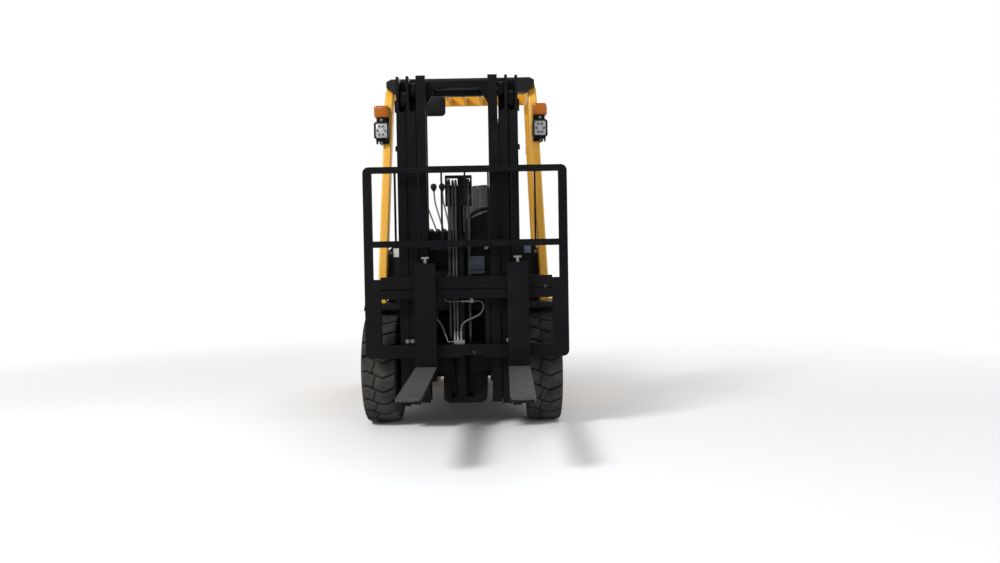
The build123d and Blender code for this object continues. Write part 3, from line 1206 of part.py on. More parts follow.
# Load backrest
LEG_T = 24
LEG_Y = (BAR_Y[0], BAR_Y[0] + LEG_T)
CORNER_R = 36
with BuildPart() as load_backrest:
    with BuildSketch(Plane.XZ.offset(-LEG_Y[1])):
        with Locations((SIDE_SHIFT, (BACKREST_TOP + LOWER_Z[0]) / 2)):
            RectangleRounded(2 * BACKREST_HALF, BACKREST_TOP - LOWER_Z[0], CORNER_R)
        with Locations((SIDE_SHIFT, (BACKREST_TOP + LOWER_Z[0] - BACKREST_BAR) / 2 - 200)):
            Rectangle(
                2 * (BACKREST_HALF - BACKREST_LEG),
                BACKREST_TOP - BACKREST_BAR - LOWER_Z[0] + 400,
                mode=Mode.SUBTRACT,
            )
        with Locations((SIDE_SHIFT, BACKREST_MID + BACKREST_BAR / 2)):
            Rectangle(2 * BACKREST_HALF - BACKREST_LEG, BACKREST_BAR)
    extrude(amount=LEG_T)
    for step in range(1, BACKREST_BARS + 1):
        x = SIDE_SHIFT + (2 * step / (BACKREST_BARS + 1) - 1) * (BACKREST_HALF - BACKREST_LEG)
        block((x - 5, x + 5), (LEG_Y[0] - 6, LEG_Y[1]), (BACKREST_MID - 6, BACKREST_TOP - BACKREST_BAR))
save(load_backrest, "load_backrest")

# Forks, with their hooks and lock pins
HEEL_R = 60
TIP_T = 12
for side, offset in FORK_OFFSETS.items():
    centre = SIDE_SHIFT + offset
    with BuildPart() as fork:
        with BuildSketch(Plane.YZ.offset(centre - FORK_W / 2)):
            with BuildLine():
                Polyline(
                    (FORK_FACE_Y + FORK_T, FORK_BOTTOM + HEEL_R),
                    (FORK_FACE_Y + FORK_T, FORK_TOP),
                    (FORK_FACE_Y, FORK_TOP),
                    (FORK_FACE_Y, FORK_BOTTOM + FORK_T),
                    (FORK_TIP_Y, FORK_BOTTOM + TIP_T + 4),
                    (FORK_TIP_Y, FORK_BOTTOM + 4),
                    (FORK_FACE_Y - 0.6 * FORK_LENGTH, FORK_BOTTOM),
                    (FORK_FACE_Y + FORK_T - HEEL_R, FORK_BOTTOM),
                )
                RadiusArc(
                    (FORK_FACE_Y + FORK_T - HEEL_R, FORK_BOTTOM),
                    (FORK_FACE_Y + FORK_T, FORK_BOTTOM + HEEL_R),
                    -HEEL_R,
                )
            make_face()
        extrude(amount=FORK_W)
        for sign in (-1, 1):
            corner = centre + sign * FORK_W / 2
            with BuildSketch(Plane.XY.offset(FORK_BOTTOM - 1)):
                with BuildLine():
                    Polyline(
                        (corner, FORK_TIP_Y),
                        (corner - sign * 38, FORK_TIP_Y),
                        (corner - sign * 10, FORK_TIP_Y + 26),
                        (corner, FORK_TIP_Y + 90),
                        close=True,
                    )
                make_face()
            extrude(amount=FORK_T, mode=Mode.SUBTRACT)
        block(
            (centre - FORK_W / 2 + 8, centre + FORK_W / 2 - 8),
            (FORK_FACE_Y + FORK_T, BAR_Y[0] + 26),
            (CARRIAGE_TOP + FIT_GAP, CARRIAGE_TOP + 44),
        )
        rod_z(centre, BAR_Y[0] + 8, (CARRIAGE_TOP + 40, FORK_TOP + 32), 9)
        rod_x((centre - 22, centre + 22), BAR_Y[0] + 8, FORK_TOP + 30, 8)
    save(fork, f"fork_{side}")

# Tilt cylinders
TILT_DIR = Vector(0, TILT_MAST_PIN[0] - TILT_FRAME_PIN[0], TILT_MAST_PIN[1] - TILT_FRAME_PIN[1])
TILT_LENGTH = TILT_DIR.length
TILT_PLANE = Plane(origin=(TILT_X, *TILT_FRAME_PIN), x_dir=(1, 0, 0), z_dir=TILT_DIR)
TILT_BARREL_END = TILT_LENGTH - 150
EYE_HALF = 20
with BuildPart() as tilt_barrels:
    with BuildSketch(TILT_PLANE.offset(66)):
        Circle(TILT_R)
    extrude(amount=TILT_BARREL_END - 66)
    with BuildSketch(TILT_PLANE):
        Circle(0.85 * EYE_HALF)
    extrude(amount=70)
    rod_x((TILT_X - EYE_HALF, TILT_X + EYE_HALF), *TILT_FRAME_PIN, 34)
    with BuildSketch(TILT_PLANE.offset(90)):
        Circle(TILT_ROD_R + RUN_GAP)
    extrude(amount=TILT_LENGTH, mode=Mode.SUBTRACT)
    rod_x((TILT_X - 60, TILT_X + 60), *TILT_FRAME_PIN, PIN_R + RUN_GAP, mode=Mode.SUBTRACT)
    mirror(about=Plane.YZ)
save(tilt_barrels, "tilt_cylinder_barrels")

with BuildPart() as tilt_rods:
    with BuildSketch(TILT_PLANE.offset(140)):
        Circle(TILT_ROD_R)
    extrude(amount=TILT_LENGTH - 140 - 10)
    rod_x((TILT_X - EYE_HALF, TILT_X + EYE_HALF), *TILT_MAST_PIN, 30)
    rod_x((TILT_X - 60, TILT_X + 60), *TILT_MAST_PIN, PIN_R + EYE_GAP, mode=Mode.SUBTRACT)
    mirror(about=Plane.YZ)
save(tilt_rods, "tilt_cylinder_rods")

# Hydraulic hose on the carriage, from its tee block to the side-shift port
HOSE_R = 7
FITTING_D = 21
HOSE_Y = SLIDE_Y[1] + HOSE_R + 0.5
with BuildPart() as carriage_hose:
    hose_points = [
        (4, HOSE_Y, LOWER_Z[1] + 20),
        (4, HOSE_Y, LOWER_Z[1] + 114),
        (126, HOSE_Y, UPPER_Z[0] - 79),
        (126, HOSE_Y, UPPER_Z[0] + 1),
        (90, HOSE_Y, UPPER_Z[0] + 43),
    ]
    with BuildLine() as hose_path:
        FilletPolyline(*hose_points, radius=38)
    with BuildSketch(Plane(origin=hose_points[0], z_dir=(0, 0, 1))):
        Circle(HOSE_R)
    sweep(path=hose_path.line)
    block((LINE_X[0] - 7, 24), (SLIDE_Y[1], SLIDE_Y[1] + FITTING_D), (LOWER_Z[1] - 28, LINE_LOW))
    block((70, 102), (SLIDE_Y[1], SLIDE_Y[1] + FITTING_D), (UPPER_Z[0] + 33, UPPER_Z[0] + 57))
save(carriage_hose, "carriage_hose")
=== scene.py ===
import json
from math import copysign, cos, exp, pi, radians, sin, sqrt

import bmesh
import bpy
from mathutils import Matrix, Vector


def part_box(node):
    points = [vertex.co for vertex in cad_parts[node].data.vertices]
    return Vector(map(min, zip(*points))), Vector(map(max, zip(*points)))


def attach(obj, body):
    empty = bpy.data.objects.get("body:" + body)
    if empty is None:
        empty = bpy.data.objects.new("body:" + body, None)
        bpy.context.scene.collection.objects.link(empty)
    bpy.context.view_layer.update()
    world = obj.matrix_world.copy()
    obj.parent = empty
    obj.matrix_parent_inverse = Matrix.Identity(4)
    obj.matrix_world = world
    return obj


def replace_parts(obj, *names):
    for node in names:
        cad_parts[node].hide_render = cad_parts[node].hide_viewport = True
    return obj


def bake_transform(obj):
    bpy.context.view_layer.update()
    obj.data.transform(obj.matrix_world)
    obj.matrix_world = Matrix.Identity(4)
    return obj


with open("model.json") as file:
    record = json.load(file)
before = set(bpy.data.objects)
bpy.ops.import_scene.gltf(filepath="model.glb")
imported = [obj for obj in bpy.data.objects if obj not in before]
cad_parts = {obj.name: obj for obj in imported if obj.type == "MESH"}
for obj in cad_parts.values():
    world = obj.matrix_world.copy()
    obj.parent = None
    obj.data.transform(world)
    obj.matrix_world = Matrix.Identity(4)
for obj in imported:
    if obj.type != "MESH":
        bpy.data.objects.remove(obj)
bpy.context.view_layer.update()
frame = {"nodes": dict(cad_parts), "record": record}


# Materials
def feed(node, key, value):
    """Sets an input of a node to a plain value, or links it to another node's output."""
    if isinstance(value, bpy.types.NodeSocket):
        node.id_data.links.new(value, node.inputs[key])
    else:
        node.inputs[key].default_value = value


def add_node(tree, kind, inputs=None, **options):
    """Adds a shader node with its options, and its inputs by name or number."""
    node = tree.nodes.new(f"ShaderNode{kind}")
    for key, value in options.items():
        setattr(node, key, value)
    for key, value in (inputs or {}).items():
        feed(node, key, value)
    return node


# The colour sockets of a Mix node, whose names are shared by its other kinds of socket
MIX_FIRST, MIX_SECOND, MIX_RESULT = 6, 7, 2


class Look:
    """A node material in the making."""

    def __init__(self, name):
        self.material = bpy.data.materials.new(name)
        self.material.use_nodes = True
        self.tree = self.material.node_tree
        self.shader = self.tree.nodes["Principled BSDF"]
        self.place = self.add("TexCoord", "Object")

    def add(self, kind, output, inputs=None, **options):
        """Adds a node and gives one of its outputs."""
        return add_node(self.tree, kind, inputs, **options).outputs[output]

    def set(self, key, value):
        """Sets or links one of the shader's inputs."""
        feed(self.shader, key, value)

    def noise(self, scale, detail=4.0, rough=0.55, stretch=None):
        """Gives noise in object space, stretched along an axis where asked."""
        place = self.place
        if stretch:
            place = self.add("Mapping", "Vector", {"Scale": stretch, "Vector": place})
        inputs = {"Scale": scale, "Detail": detail, "Roughness": rough, "Vector": place}
        return self.add("TexNoise", "Fac", inputs)

    def waves(self, place, pitch):
        """Gives even waves across a place."""
        return self.add("TexWave", "Fac", {"Scale": pitch, "Vector": place})

    def ramp(self, value, low, high, first=0.0, last=1.0):
        """Maps a value from one range to another."""
        inputs = {"Value": value, "From Min": low, "From Max": high, "To Min": first, "To Max": last}
        return self.add("MapRange", "Result", inputs)

    def blend(self, value, first, second):
        """Blends two colours by a value; either may be a colour or another node's output."""
        first, second = ((*c, 1.0) if isinstance(c, tuple) else c for c in (first, second))
        inputs = {"Factor": value, MIX_FIRST: first, MIX_SECOND: second}
        return self.add("Mix", MIX_RESULT, inputs, data_type="RGBA")

    def both(self, first, second):
        """Multiplies two values."""
        return self.add("Math", "Value", {0: first, 1: second}, operation="MULTIPLY")

    def part(self, vector, axis):
        """Gives one component of a vector."""
        return self.add("SeparateXYZ", axis, {"Vector": vector})

    def zone(self, axis, low, high):
        """Gives a value that goes from 0 to 1 between two places along an axis, and along X on both sides."""
        value = self.part(self.place, axis)
        if axis == "X":
            value = self.add("Math", "Value", {0: value}, operation="ABSOLUTE")
        return self.ramp(value, low, high)

    def film(self, amount):
        """Gives the broad patches of a film of dust."""
        return self.ramp(self.noise(2.6, 6.0, 0.62), 0.42, 0.72, 0.0, amount)

    def roughness(self, value, low, high):
        """Lets the roughness follow a texture."""
        self.set("Roughness", self.ramp(value, 0.3, 0.7, low, high))

    def bump(self, value, strength, distance):
        """Feeds a height into the shader's normal."""
        inputs = {"Strength": strength, "Distance": distance, "Height": value}
        self.set("Normal", self.add("Bump", "Normal", inputs))


def paint(name, colour, dust, rough, coat=0.0, amount=0.35, gloss=0.5):
    """Sprayed paint: faint orange peel, a film of dust in broad patches and fine scuffs."""
    look = Look(name)
    scuffs = look.ramp(look.noise(9.0, 5.0, 0.6, (1.0, 1.0, 0.12)), 0.58, 0.8, 0.0, 0.5 * amount)
    look.set("Base Color", look.blend(scuffs, look.blend(look.film(amount), colour, dust), dust))
    look.roughness(look.noise(14.0), rough - 0.08, rough + 0.12)
    look.set("Specular IOR Level", gloss)
    look.set("Coat Weight", coat)
    look.set("Coat Roughness", 0.2)
    look.bump(look.noise(420.0, 2.0), 0.06, 0.0006)
    return look


def metal(name, colour, dark, rough, stretch, metallic=1.0, grime=0.5):
    """Worn metal: drawn streaks along one direction, rubbed bright patches and grime."""
    look = Look(name)
    streaks = look.noise(30.0, 6.0, 0.7, stretch)
    patches = look.ramp(look.noise(4.0, 6.0, 0.6), 0.38, 0.66, 0.0, grime)
    base = look.blend(patches, colour, dark)
    look.set("Base Color", look.blend(look.ramp(streaks, 0.45, 0.75, 0.0, 0.55), base, dark))
    look.roughness(streaks, rough - 0.1, rough + 0.15)
    look.set("Metallic", metallic)
    look.bump(streaks, 0.12, 0.0008)
    return look


def rubber(name, colour, dust, rough, amount):
    """Rubber with dried dust and a fine moulded grain."""
    look = Look(name)
    patches = look.ramp(look.noise(7.0, 7.0, 0.66), 0.36, 0.72, 0.0, amount)
    fine = look.ramp(look.noise(70.0, 5.0, 0.7), 0.45, 0.8, 0.0, 0.6 * amount)
    look.set("Base Color", look.blend(fine, look.blend(patches, colour, dust), dust))
    look.roughness(look.noise(30.0), rough - 0.1, rough + 0.1)
    look.set("Specular IOR Level", 0.2)
    look.bump(look.noise(160.0, 5.0, 0.7), 0.18, 0.0015)
    return look


def plastic(name, colour, rough, grain=260.0, gloss=0.5):
    """Moulded plastic with a leather-like grain and a little dust."""
    look = Look(name)
    dust = tuple(2.2 * c for c in colour)
    patches = look.ramp(look.noise(5.0, 6.0, 0.6), 0.45, 0.75, 0.0, 0.4)
    look.set("Base Color", look.blend(patches, colour, dust))
    look.roughness(look.noise(22.0), rough - 0.08, rough + 0.1)
    look.set("Specular IOR Level", gloss)
    look.bump(look.noise(grain, 3.0), 0.15, 0.0008)
    return look


def lens(name, colour, deep, pitch):
    """Moulded lamp lens: saturated, glossy and ribbed."""
    look = Look(name)
    ribs = look.waves(look.place, pitch)
    look.set("Base Color", look.blend(ribs, colour, deep))
    look.roughness(look.noise(25.0), 0.12, 0.24)
    look.set("Specular IOR Level", 0.2)
    look.set("Coat Weight", 0.06)
    look.bump(ribs, 0.25, 0.002)
    return look


BLACK = (0.0023, 0.0023, 0.0032)
BLACK_DUST = (0.0095, 0.0092, 0.0095)
YELLOW = (0.72, 0.36, 0.028)
YELLOW_DUST = (0.66, 0.40, 0.085)
ZINC = (0.205, 0.202, 0.192)
SEAT_GREY = (0.038, 0.038, 0.041)
SEAT_DUST = (0.062, 0.061, 0.062)
SEAT_BLACK = (0.006, 0.006, 0.007)
SEAT_TOP = (("Z", 1.600, 1.604),)
FRAME_SIDES = (("X", 0.535, 0.545), ("Z", 0.295, 0.305))
EVEN = (1.0, 1.0, 1.0)


def fork_paint(name):
    """Black forks, the tops of their blades scraped to grey steel and darkened towards the tips as painted shade, and
    bright locking pins above the shanks.
    """
    look = Look(name)
    normal = look.add("NewGeometry", "Normal")
    blade = look.both(look.ramp(look.part(normal, "Z"), 0.35, 0.75), look.zone("Z", 0.47, 0.41))
    scrapes = look.ramp(look.noise(11.0, 7.0, 0.62, (0.3, 1.0, 1.0)), 0.30, 0.78)
    steel = look.blend(scrapes, (0.080, 0.079, 0.077), (0.050, 0.049, 0.048))
    # Painted shade: the blade steel darkens towards the tips, broken up by noise
    tip_shade = look.both(look.zone("Y", -1.45, -1.89), look.ramp(look.noise(9.0, 5.0, 0.7), 0.4, 0.6))
    steel = look.blend(tip_shade, steel, (0.030, 0.029, 0.027))
    film = look.ramp(look.noise(3.0, 6.0, 0.62), 0.45, 0.75, 0.0, 0.6)
    shank = look.blend(film, BLACK, BLACK_DUST)
    pin = look.zone("Z", 1.0105, 1.0115)
    look.set("Base Color", look.blend(pin, look.blend(blade, shank, steel), ZINC))
    look.set("Metallic", look.ramp(pin, 0.0, 1.0, 0.0, 0.8))
    look.set("Roughness", look.ramp(scrapes, 0.0, 1.0, 0.38, 0.52))
    look.set("Specular IOR Level", 0.08)
    look.bump(scrapes, 0.10, 0.0008)
    return look


def two_tone(name, first, second, places):
    """Paint of one colour with another inside the zones where every (axis, low, high) place holds."""
    look = paint(name, *first, 0.4, 0.0, 0.45, 0.15)
    inside = None
    for place in places:
        value = look.zone(*place)
        inside = look.both(inside, value) if inside else value
    plain = look.shader.inputs["Base Color"].links[0].from_socket
    look.set("Base Color", look.blend(inside, plain, look.blend(look.film(0.45), *second)))
    return look


def woven(name, colour, light, pitch):
    """Braided or woven strands: two crossed waves."""
    look = Look(name)
    bands = []
    for turn in (0.785, -0.785):
        inputs = {"Rotation": (turn, turn, turn), "Vector": look.place}
        bands.append(look.waves(look.add("Mapping", "Vector", inputs), pitch))
    strands = look.both(*bands)
    look.set("Base Color", look.blend(strands, colour, light))
    look.set("Roughness", look.ramp(strands, 0.0, 1.0, 0.62, 0.42))
    look.bump(strands, 0.3, 0.001)
    return look


# The record's material slots, and the finishes of single pieces with the slot that each belongs to
SLOT_LOOKS = {
    "yellow_paint": (paint, YELLOW, YELLOW_DUST, 0.36, 0.1, 0.45, 0.35),
    "yellow_cast": (paint, (0.68, 0.335, 0.026), (0.58, 0.36, 0.08), 0.42, 0.1, 0.5, 0.35),
    "black_paint": (paint, BLACK, BLACK_DUST, 0.4, 0.0, 0.5, 0.07),
    "grey_cast": (paint, (0.006, 0.006, 0.0065), (0.026, 0.024, 0.021), 0.6, 0.0, 0.6, 0.12),
    "tyre_rubber": (rubber, (0.011, 0.011, 0.0112), (0.088, 0.080, 0.069), 0.8, 0.55),
    "rim_steel": (paint, (0.62, 0.61, 0.58), (0.33, 0.30, 0.26), 0.4, 0.0, 0.5),
    "bare_steel": (metal, (0.30, 0.30, 0.31), (0.10, 0.095, 0.09), 0.42, (1.0, 0.08, 0.08), 0.8),
    "chrome_rod": (metal, (0.72, 0.72, 0.74), (0.45, 0.45, 0.46), 0.16, (1.0, 1.0, 0.1), 1.0, 0.2),
    "black_plastic": (plastic, (0.005, 0.005, 0.006), 0.5, 260.0, 0.14),
    "seat_vinyl": (two_tone, (SEAT_GREY, SEAT_DUST), (SEAT_BLACK, BLACK_DUST), SEAT_TOP),
    "amber_lens": (lens, (0.41, 0.118, 0.004), (0.26, 0.062, 0.002), 40.0),
    "red_lens": (lens, (0.42, 0.012, 0.012), (0.26, 0.006, 0.006), 40.0),
    "hose_rubber": (rubber, (0.012, 0.012, 0.013), (0.05, 0.048, 0.045), 0.5, 0.35),
    "chain_steel": (metal, (0.045, 0.042, 0.040), (0.012, 0.011, 0.010), 0.36, (1.0, 1.0, 0.3), 0.6),
    "fork_steel": (fork_paint,),
}
TRIM_LOOKS = {
    "lamp_silver": ("bare_steel", metal, (0.46, 0.46, 0.47), (0.30, 0.30, 0.31), 0.34, EVEN, 0.35, 0.3),
    "led_dark": ("black_plastic", plastic, (0.035, 0.036, 0.040), 0.14, 60.0),
    "zinc_bolt": ("bare_steel", metal, ZINC, (0.115, 0.108, 0.095), 0.34, EVEN, 0.85, 0.45),
    "plate_white": ("rim_steel", paint, (0.62, 0.62, 0.60), (0.42, 0.40, 0.37), 0.45, 0.0, 0.4),
    "plate_grey": ("rim_steel", paint, (0.105, 0.135, 0.185), (0.16, 0.17, 0.19), 0.4, 0.0, 0.4),
    "hose_grey": ("hose_rubber", rubber, (0.030, 0.030, 0.032), (0.10, 0.098, 0.095), 0.42, 0.4),
    "hose_braid": ("hose_rubber", woven, (0.036, 0.034, 0.030), (0.115, 0.110, 0.098), 260.0),
    "belt_web": ("black_plastic", woven, (0.010, 0.010, 0.011), (0.032, 0.032, 0.034), 320.0),
    "mirror_glass": ("chrome_rod", metal, (0.82, 0.83, 0.84), (0.72, 0.73, 0.74), 0.13, EVEN, 1.0, 0.15),
    "mat_rubber": ("hose_rubber", rubber, (0.012, 0.012, 0.012), (0.070, 0.062, 0.052), 0.7, 0.6),
}
FINISHES = {name: (maker(name, *values).material, name) for name, (maker, *values) in SLOT_LOOKS.items()}
for name, (slot, maker, *values) in TRIM_LOOKS.items():
    FINISHES[name] = (maker(name, *values).material, slot)
NODE_FINISHES = {
    "pedals": FINISHES["mat_rubber"][0],
    # The guard's roof gets a darker copy of the yellow paint as painted shade; it is also duller, so that its bars
    # catch no bright reflections
    "guard_roof": paint("roof_yellow_painted_shade", (0.62, 0.30, 0.022), (0.52, 0.31, 0.07), 0.62, 0.0, 0.4, 0.08).material,
    "chassis_frame": two_tone("frame_two_tone", (BLACK, BLACK_DUST), (YELLOW, YELLOW_DUST), FRAME_SIDES).material,
}
for part in frame["record"]["subparts"]:
    node = frame["nodes"][part["node"]]
    node.data.materials.clear()
    node.data.materials.append(NODE_FINISHES.get(part["node"], FINISHES[part["material_slot"]][0]))


# Mesh building
class Shape:
    """Collects the vertices and faces of one piece."""

    def __init__(self):
        self.verts = []
        self.faces = []

    def add(self, verts, faces):
        """Joins more vertices and faces to the piece."""
        start = len(self.verts)
        self.verts.extend(Vector(v) for v in verts)
        self.faces.extend(tuple(start + i for i in face) for face in faces)

    def grid(self, rows, close_rows=True, close_columns=False):
        """Joins a net of faces over rows of points."""
        start = len(self.verts)
        count = len(rows[0])
        for row in rows:
            self.verts.extend(Vector(v) for v in row)
        last_row = len(rows) if close_rows else len(rows) - 1
        last_column = count if close_columns else count - 1
        for i in range(last_row):
            for j in range(last_column):
                a = start + i * count + j
                b = start + i * count + (j + 1) % count
                c = start + (i + 1) % len(rows) * count + (j + 1) % count
                d = start + (i + 1) % len(rows) * count + j
                self.faces.append((a, b, c, d))

    def rings(self, rows):
        """Joins closed rings one after the other, open at both ends."""
        self.grid(rows, close_rows=False, close_columns=True)

    def turned(self, centre, axis, profile, sides=24):
        """Turns a closed or open (along, radius) profile about an axis through a point."""
        axis = Vector(axis).normalized()
        side = axis.orthogonal().normalized()
        up = axis.cross(side)
        rows = []
        for step in range(sides):
            angle = 2 * pi * step / sides
            spoke = side * cos(angle) + up * sin(angle)
            rows.append([Vector(centre) + axis * along + spoke * radius for along, radius in profile])
        self.grid(rows)

    def tube(self, points, radius, sides=12):
        """Runs a round tube with closed ends along points."""
        points = [Vector(p) for p in points]
        rows = []
        side = (points[1] - points[0]).orthogonal().normalized()
        for i, point in enumerate(points):
            ahead = points[min(i + 1, len(points) - 1)] - points[max(i - 1, 0)]
            ahead.normalize()
            side = (side - ahead * side.dot(ahead)).normalized()
            up = ahead.cross(side)
            ring = [2 * pi * k / sides for k in range(sides)]
            rows.append([point + radius * (side * cos(a) + up * sin(a)) for a in ring])
        start = len(self.verts)
        self.rings(rows)
        self.faces.append(tuple(start + k for k in reversed(range(sides))))
        self.faces.append(tuple(start + (len(rows) - 1) * sides + k for k in range(sides)))

    def box(self, low, high, bevel=0.0, turn=None):
        """Joins a block between two corners, its edges bevelled, turned about its middle where asked."""
        mesh = bmesh.new()
        bmesh.ops.create_cube(mesh, size=1.0)
        middle = (Vector(low) + Vector(high)) / 2
        size = Vector(high) - Vector(low)
        bmesh.ops.scale(mesh, vec=size, verts=mesh.verts)
        if bevel:
            bmesh.ops.bevel(mesh, geom=mesh.edges[:], offset=bevel, segments=2, affect="EDGES", profile=0.6)
        place = Matrix.Translation(middle)
        if turn:
            place = place @ turn
        mesh.transform(place)
        mesh.verts.index_update()
        self.add([v.co.copy() for v in mesh.verts], [[v.index for v in f.verts] for f in mesh.faces])
        mesh.free()

    def prism(self, outline, depth):
        """Joins a slab from an outline of points and a vector for its depth."""
        count = len(outline)
        front = [Vector(p) for p in outline]
        back = [p + Vector(depth) for p in front]
        faces = [tuple(range(count)), tuple(reversed(range(count, 2 * count)))]
        for i in range(count):
            j = (i + 1) % count
            faces.append((j, i, count + i, count + j))
        self.add(front + back, faces)

    def bolt(self, centre, axis, across, height, washer=True):
        """Joins a hexagon bolt head with a domed top, on its washer."""
        radius = across / sqrt(3)
        base = 0.0
        if washer:
            rim = 1.35 * radius
            base = 0.18 * height
            self.turned(centre, axis, [(0, 0.2 * rim), (0, rim), (base, rim), (base, 0.2 * rim)], 20)
        head = [(base, 0.0005), (base, radius), (base + 0.8 * height, radius)]
        self.turned(centre, axis, head + [(base + height, 0.8 * radius), (base + height, 0.0005)], 6)


def new_object(name, data):
    """Adds an object to the scene."""
    thing = bpy.data.objects.new(name, data)
    bpy.context.scene.collection.objects.link(thing)
    return thing


def make_piece(name, shape, material, body="chassis", smooth=32):
    """Turns a shape into an object of one finish that rides on a body, or on none when the body is None."""
    mesh = bpy.data.meshes.new(name)
    mesh.from_pydata(shape.verts, [], shape.faces)
    mesh.validate()
    work = bmesh.new()
    work.from_mesh(mesh)
    bmesh.ops.recalc_face_normals(work, faces=work.faces)
    work.to_mesh(mesh)
    work.free()
    mesh.polygons.foreach_set("use_smooth", [True] * len(mesh.polygons))
    mesh.set_sharp_from_angle(angle=radians(smooth))
    finish, slot = FINISHES[material]
    mesh.materials.append(finish)
    piece = new_object(name, mesh)
    if body:
        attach(piece, body)
    return piece


def smooth_route(route, steps=12):
    """Reads points from a smooth NURBS line with a route's points as its control points."""
    curve = bpy.data.curves.new("route", "CURVE")
    curve.dimensions = "3D"
    spline = curve.splines.new("NURBS")
    spline.points.add(len(route) - 1)
    for point, place in zip(spline.points, route):
        point.co = (*place, 1.0)
    spline.order_u = 3
    spline.use_endpoint_u = True
    curve.resolution_u = steps
    holder = bpy.data.objects.new("route", curve)
    line = bpy.data.meshes.new_from_object(holder)
    points = [vertex.co.copy() for vertex in line.vertices]
    bpy.data.objects.remove(holder)
    return points


def mid(node):
    """Gives the middle of a node's box."""
    low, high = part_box(node)
    return (Vector(low) + Vector(high)) / 2


def rounded(half_x, half_z, radius, steps=6):
    """Gives the corner-rounded outline of a plate as (x, z) points."""
    points = []
    for k in range(4):
        for step in range(steps + 1):
            angle = pi / 2 * (k + step / steps)
            corner_x = (half_x - radius) * (1 if k in (0, 3) else -1)
            corner_z = (half_z - radius) * (1 if k in (0, 1) else -1)
            points.append((corner_x + radius * cos(angle), corner_z + radius * sin(angle)))
    return points


# Tyres: wavy cross grooves split the tread into rows, and a slanted cut splits each row into two blocks
GROOVE_WAVE = ((-1.0, 0.0), (-0.62, 0.012), (-0.2, -0.012), (0.25, -0.036), (0.62, -0.02), (1.0, 0.0))
CUT_SPAN = (-0.34, -0.13)
CUT_LIP, CUT_FOOT = 0.006, 0.0035
CUT_DEPTH = 0.45
BLOCK_EDGE = 0.0025
CROWN_DROP = 0.03
SHOULDER = 0.8
TREAD_RIGHT = (0.80, 0.70, 0.62, 0.5, 0.38, 0.25, 0.12, 0.0, -0.1, -0.17)
TREAD_LEFT = (-0.42, -0.52, -0.62, -0.70, -0.80)
# Share of the half width, share of the height over the bead and share of the groove depth, from the bead outward
TYRE_SIDE = (
    (0.80, 0.0, 0.0), (0.86, 0.03, 0.0), (0.925, 0.10, 0.0), (0.905, 0.16, 0.0), (0.96, 0.30, 0.0), (1.0, 0.50, 0.0),
    (0.985, 0.64, 0.0), (1.0, 0.655, 0.0), (0.985, 0.72, 0.15), (0.97, 0.78, 0.75), (0.95, 0.86, 1.0),
    (0.90, 0.935, 1.0),
)


def along(points, value):
    """Reads a broken line of (position, height) points at one position."""
    for (x0, y0), (x1, y1) in zip(points, points[1:]):
        if value <= x1:
            return y0 + (y1 - y0) * max(0.0, (value - x0) / (x1 - x0))
    return points[-1][1]


def crown(shares, radius, rise):
    """Gives the tread's surface at shares of the half width."""
    return [(u, radius - CROWN_DROP * rise * (u / SHOULDER) ** 2, 1.0) for u in shares]


def tyre_shape(centre, radius, width, bead, pitches, groove, depth):
    """Builds one tyre with its tread about an axle along X."""
    half = width / 2
    rise = radius - bead
    side = [(u, bead + share * rise, hold) for u, share, hold in TYRE_SIDE]
    cut_mid = sum(CUT_SPAN) / 2
    lip, foot = CUT_LIP / half, CUT_FOOT / half
    floor = radius - CUT_DEPTH * depth
    columns = side + crown(TREAD_RIGHT, radius, rise)
    columns += [(cut_mid + lip, radius - 0.001, 1.0), (cut_mid + foot, floor, 1.0), (cut_mid - foot, floor, 1.0)]
    columns += crown((cut_mid - lip, *TREAD_LEFT), radius, rise) + [(-u, r, hold) for u, r, hold in reversed(side)]
    pitch = 2 * pi * radius / pitches
    block = pitch - groove
    rim = 0.5 * groove
    steps = [(BLOCK_EDGE - rim, 1.0), (rim - BLOCK_EDGE, 1.0), (rim, 0.06), (rim + BLOCK_EDGE, 0.0)]
    steps += [(rim + block * share, 0.0) for share in (0.25, 0.5, 0.75)]
    steps += [(pitch - rim - BLOCK_EDGE, 0.0), (pitch - rim, 0.06)]
    rows = []
    for k in range(pitches):
        for run, sunk in steps:
            share = min(1.0, max(0.0, (run - rim) / block))
            lean = CUT_SPAN[0] + (CUT_SPAN[1] - CUT_SPAN[0]) * share - cut_mid
            row = []
            for u, r, hold in columns:
                u += lean * max(0.0, 1.0 - abs(u - cut_mid) / 0.4) if abs(u) < 0.79 else 0.0
                angle = (k * pitch + run + hold * along(GROOVE_WAVE, u)) / radius
                deep = sunk * hold * depth * (0.7 + 0.3 * abs(u))
                inward = min(1.0, max(0.0, (abs(u) - 0.86) / 0.1))
                r -= deep * (1.0 - 0.75 * inward)
                x = u * half - copysign(0.5 * deep * inward, u)
                row.append((centre[0] + x, centre[1] - r * cos(angle), centre[2] + r * sin(angle)))
            rows.append(row)
    shape = Shape()
    shape.grid(rows, close_columns=True)
    return shape


FRONT_TREAD = {"pitches": 24, "groove": 0.015, "depth": 0.022}
REAR_TREAD = {"pitches": 20, "groove": 0.013, "depth": 0.018}


def add_tyres():
    """Replaces the four plain tyres by treaded ones."""
    for end, tread in (("front", FRONT_TREAD), ("rear", REAR_TREAD)):
        for side in ("left", "right"):
            node = f"{end}_tyre_{side}"
            low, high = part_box(node)
            radius = (high[2] - low[2]) / 2
            rim_low, rim_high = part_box(f"{end}_rim_{side}")
            bead = (rim_high[2] - rim_low[2]) / 2 + 0.0002
            shape = tyre_shape(mid(node), radius - 0.0005, high[0] - low[0], bead, **tread)
            piece = make_piece(f"{end}_treaded_tyre_{side}", shape, "tyre_rubber", f"{end}_wheel_{side}", 28)
            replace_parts(piece, node)


add_tyres()


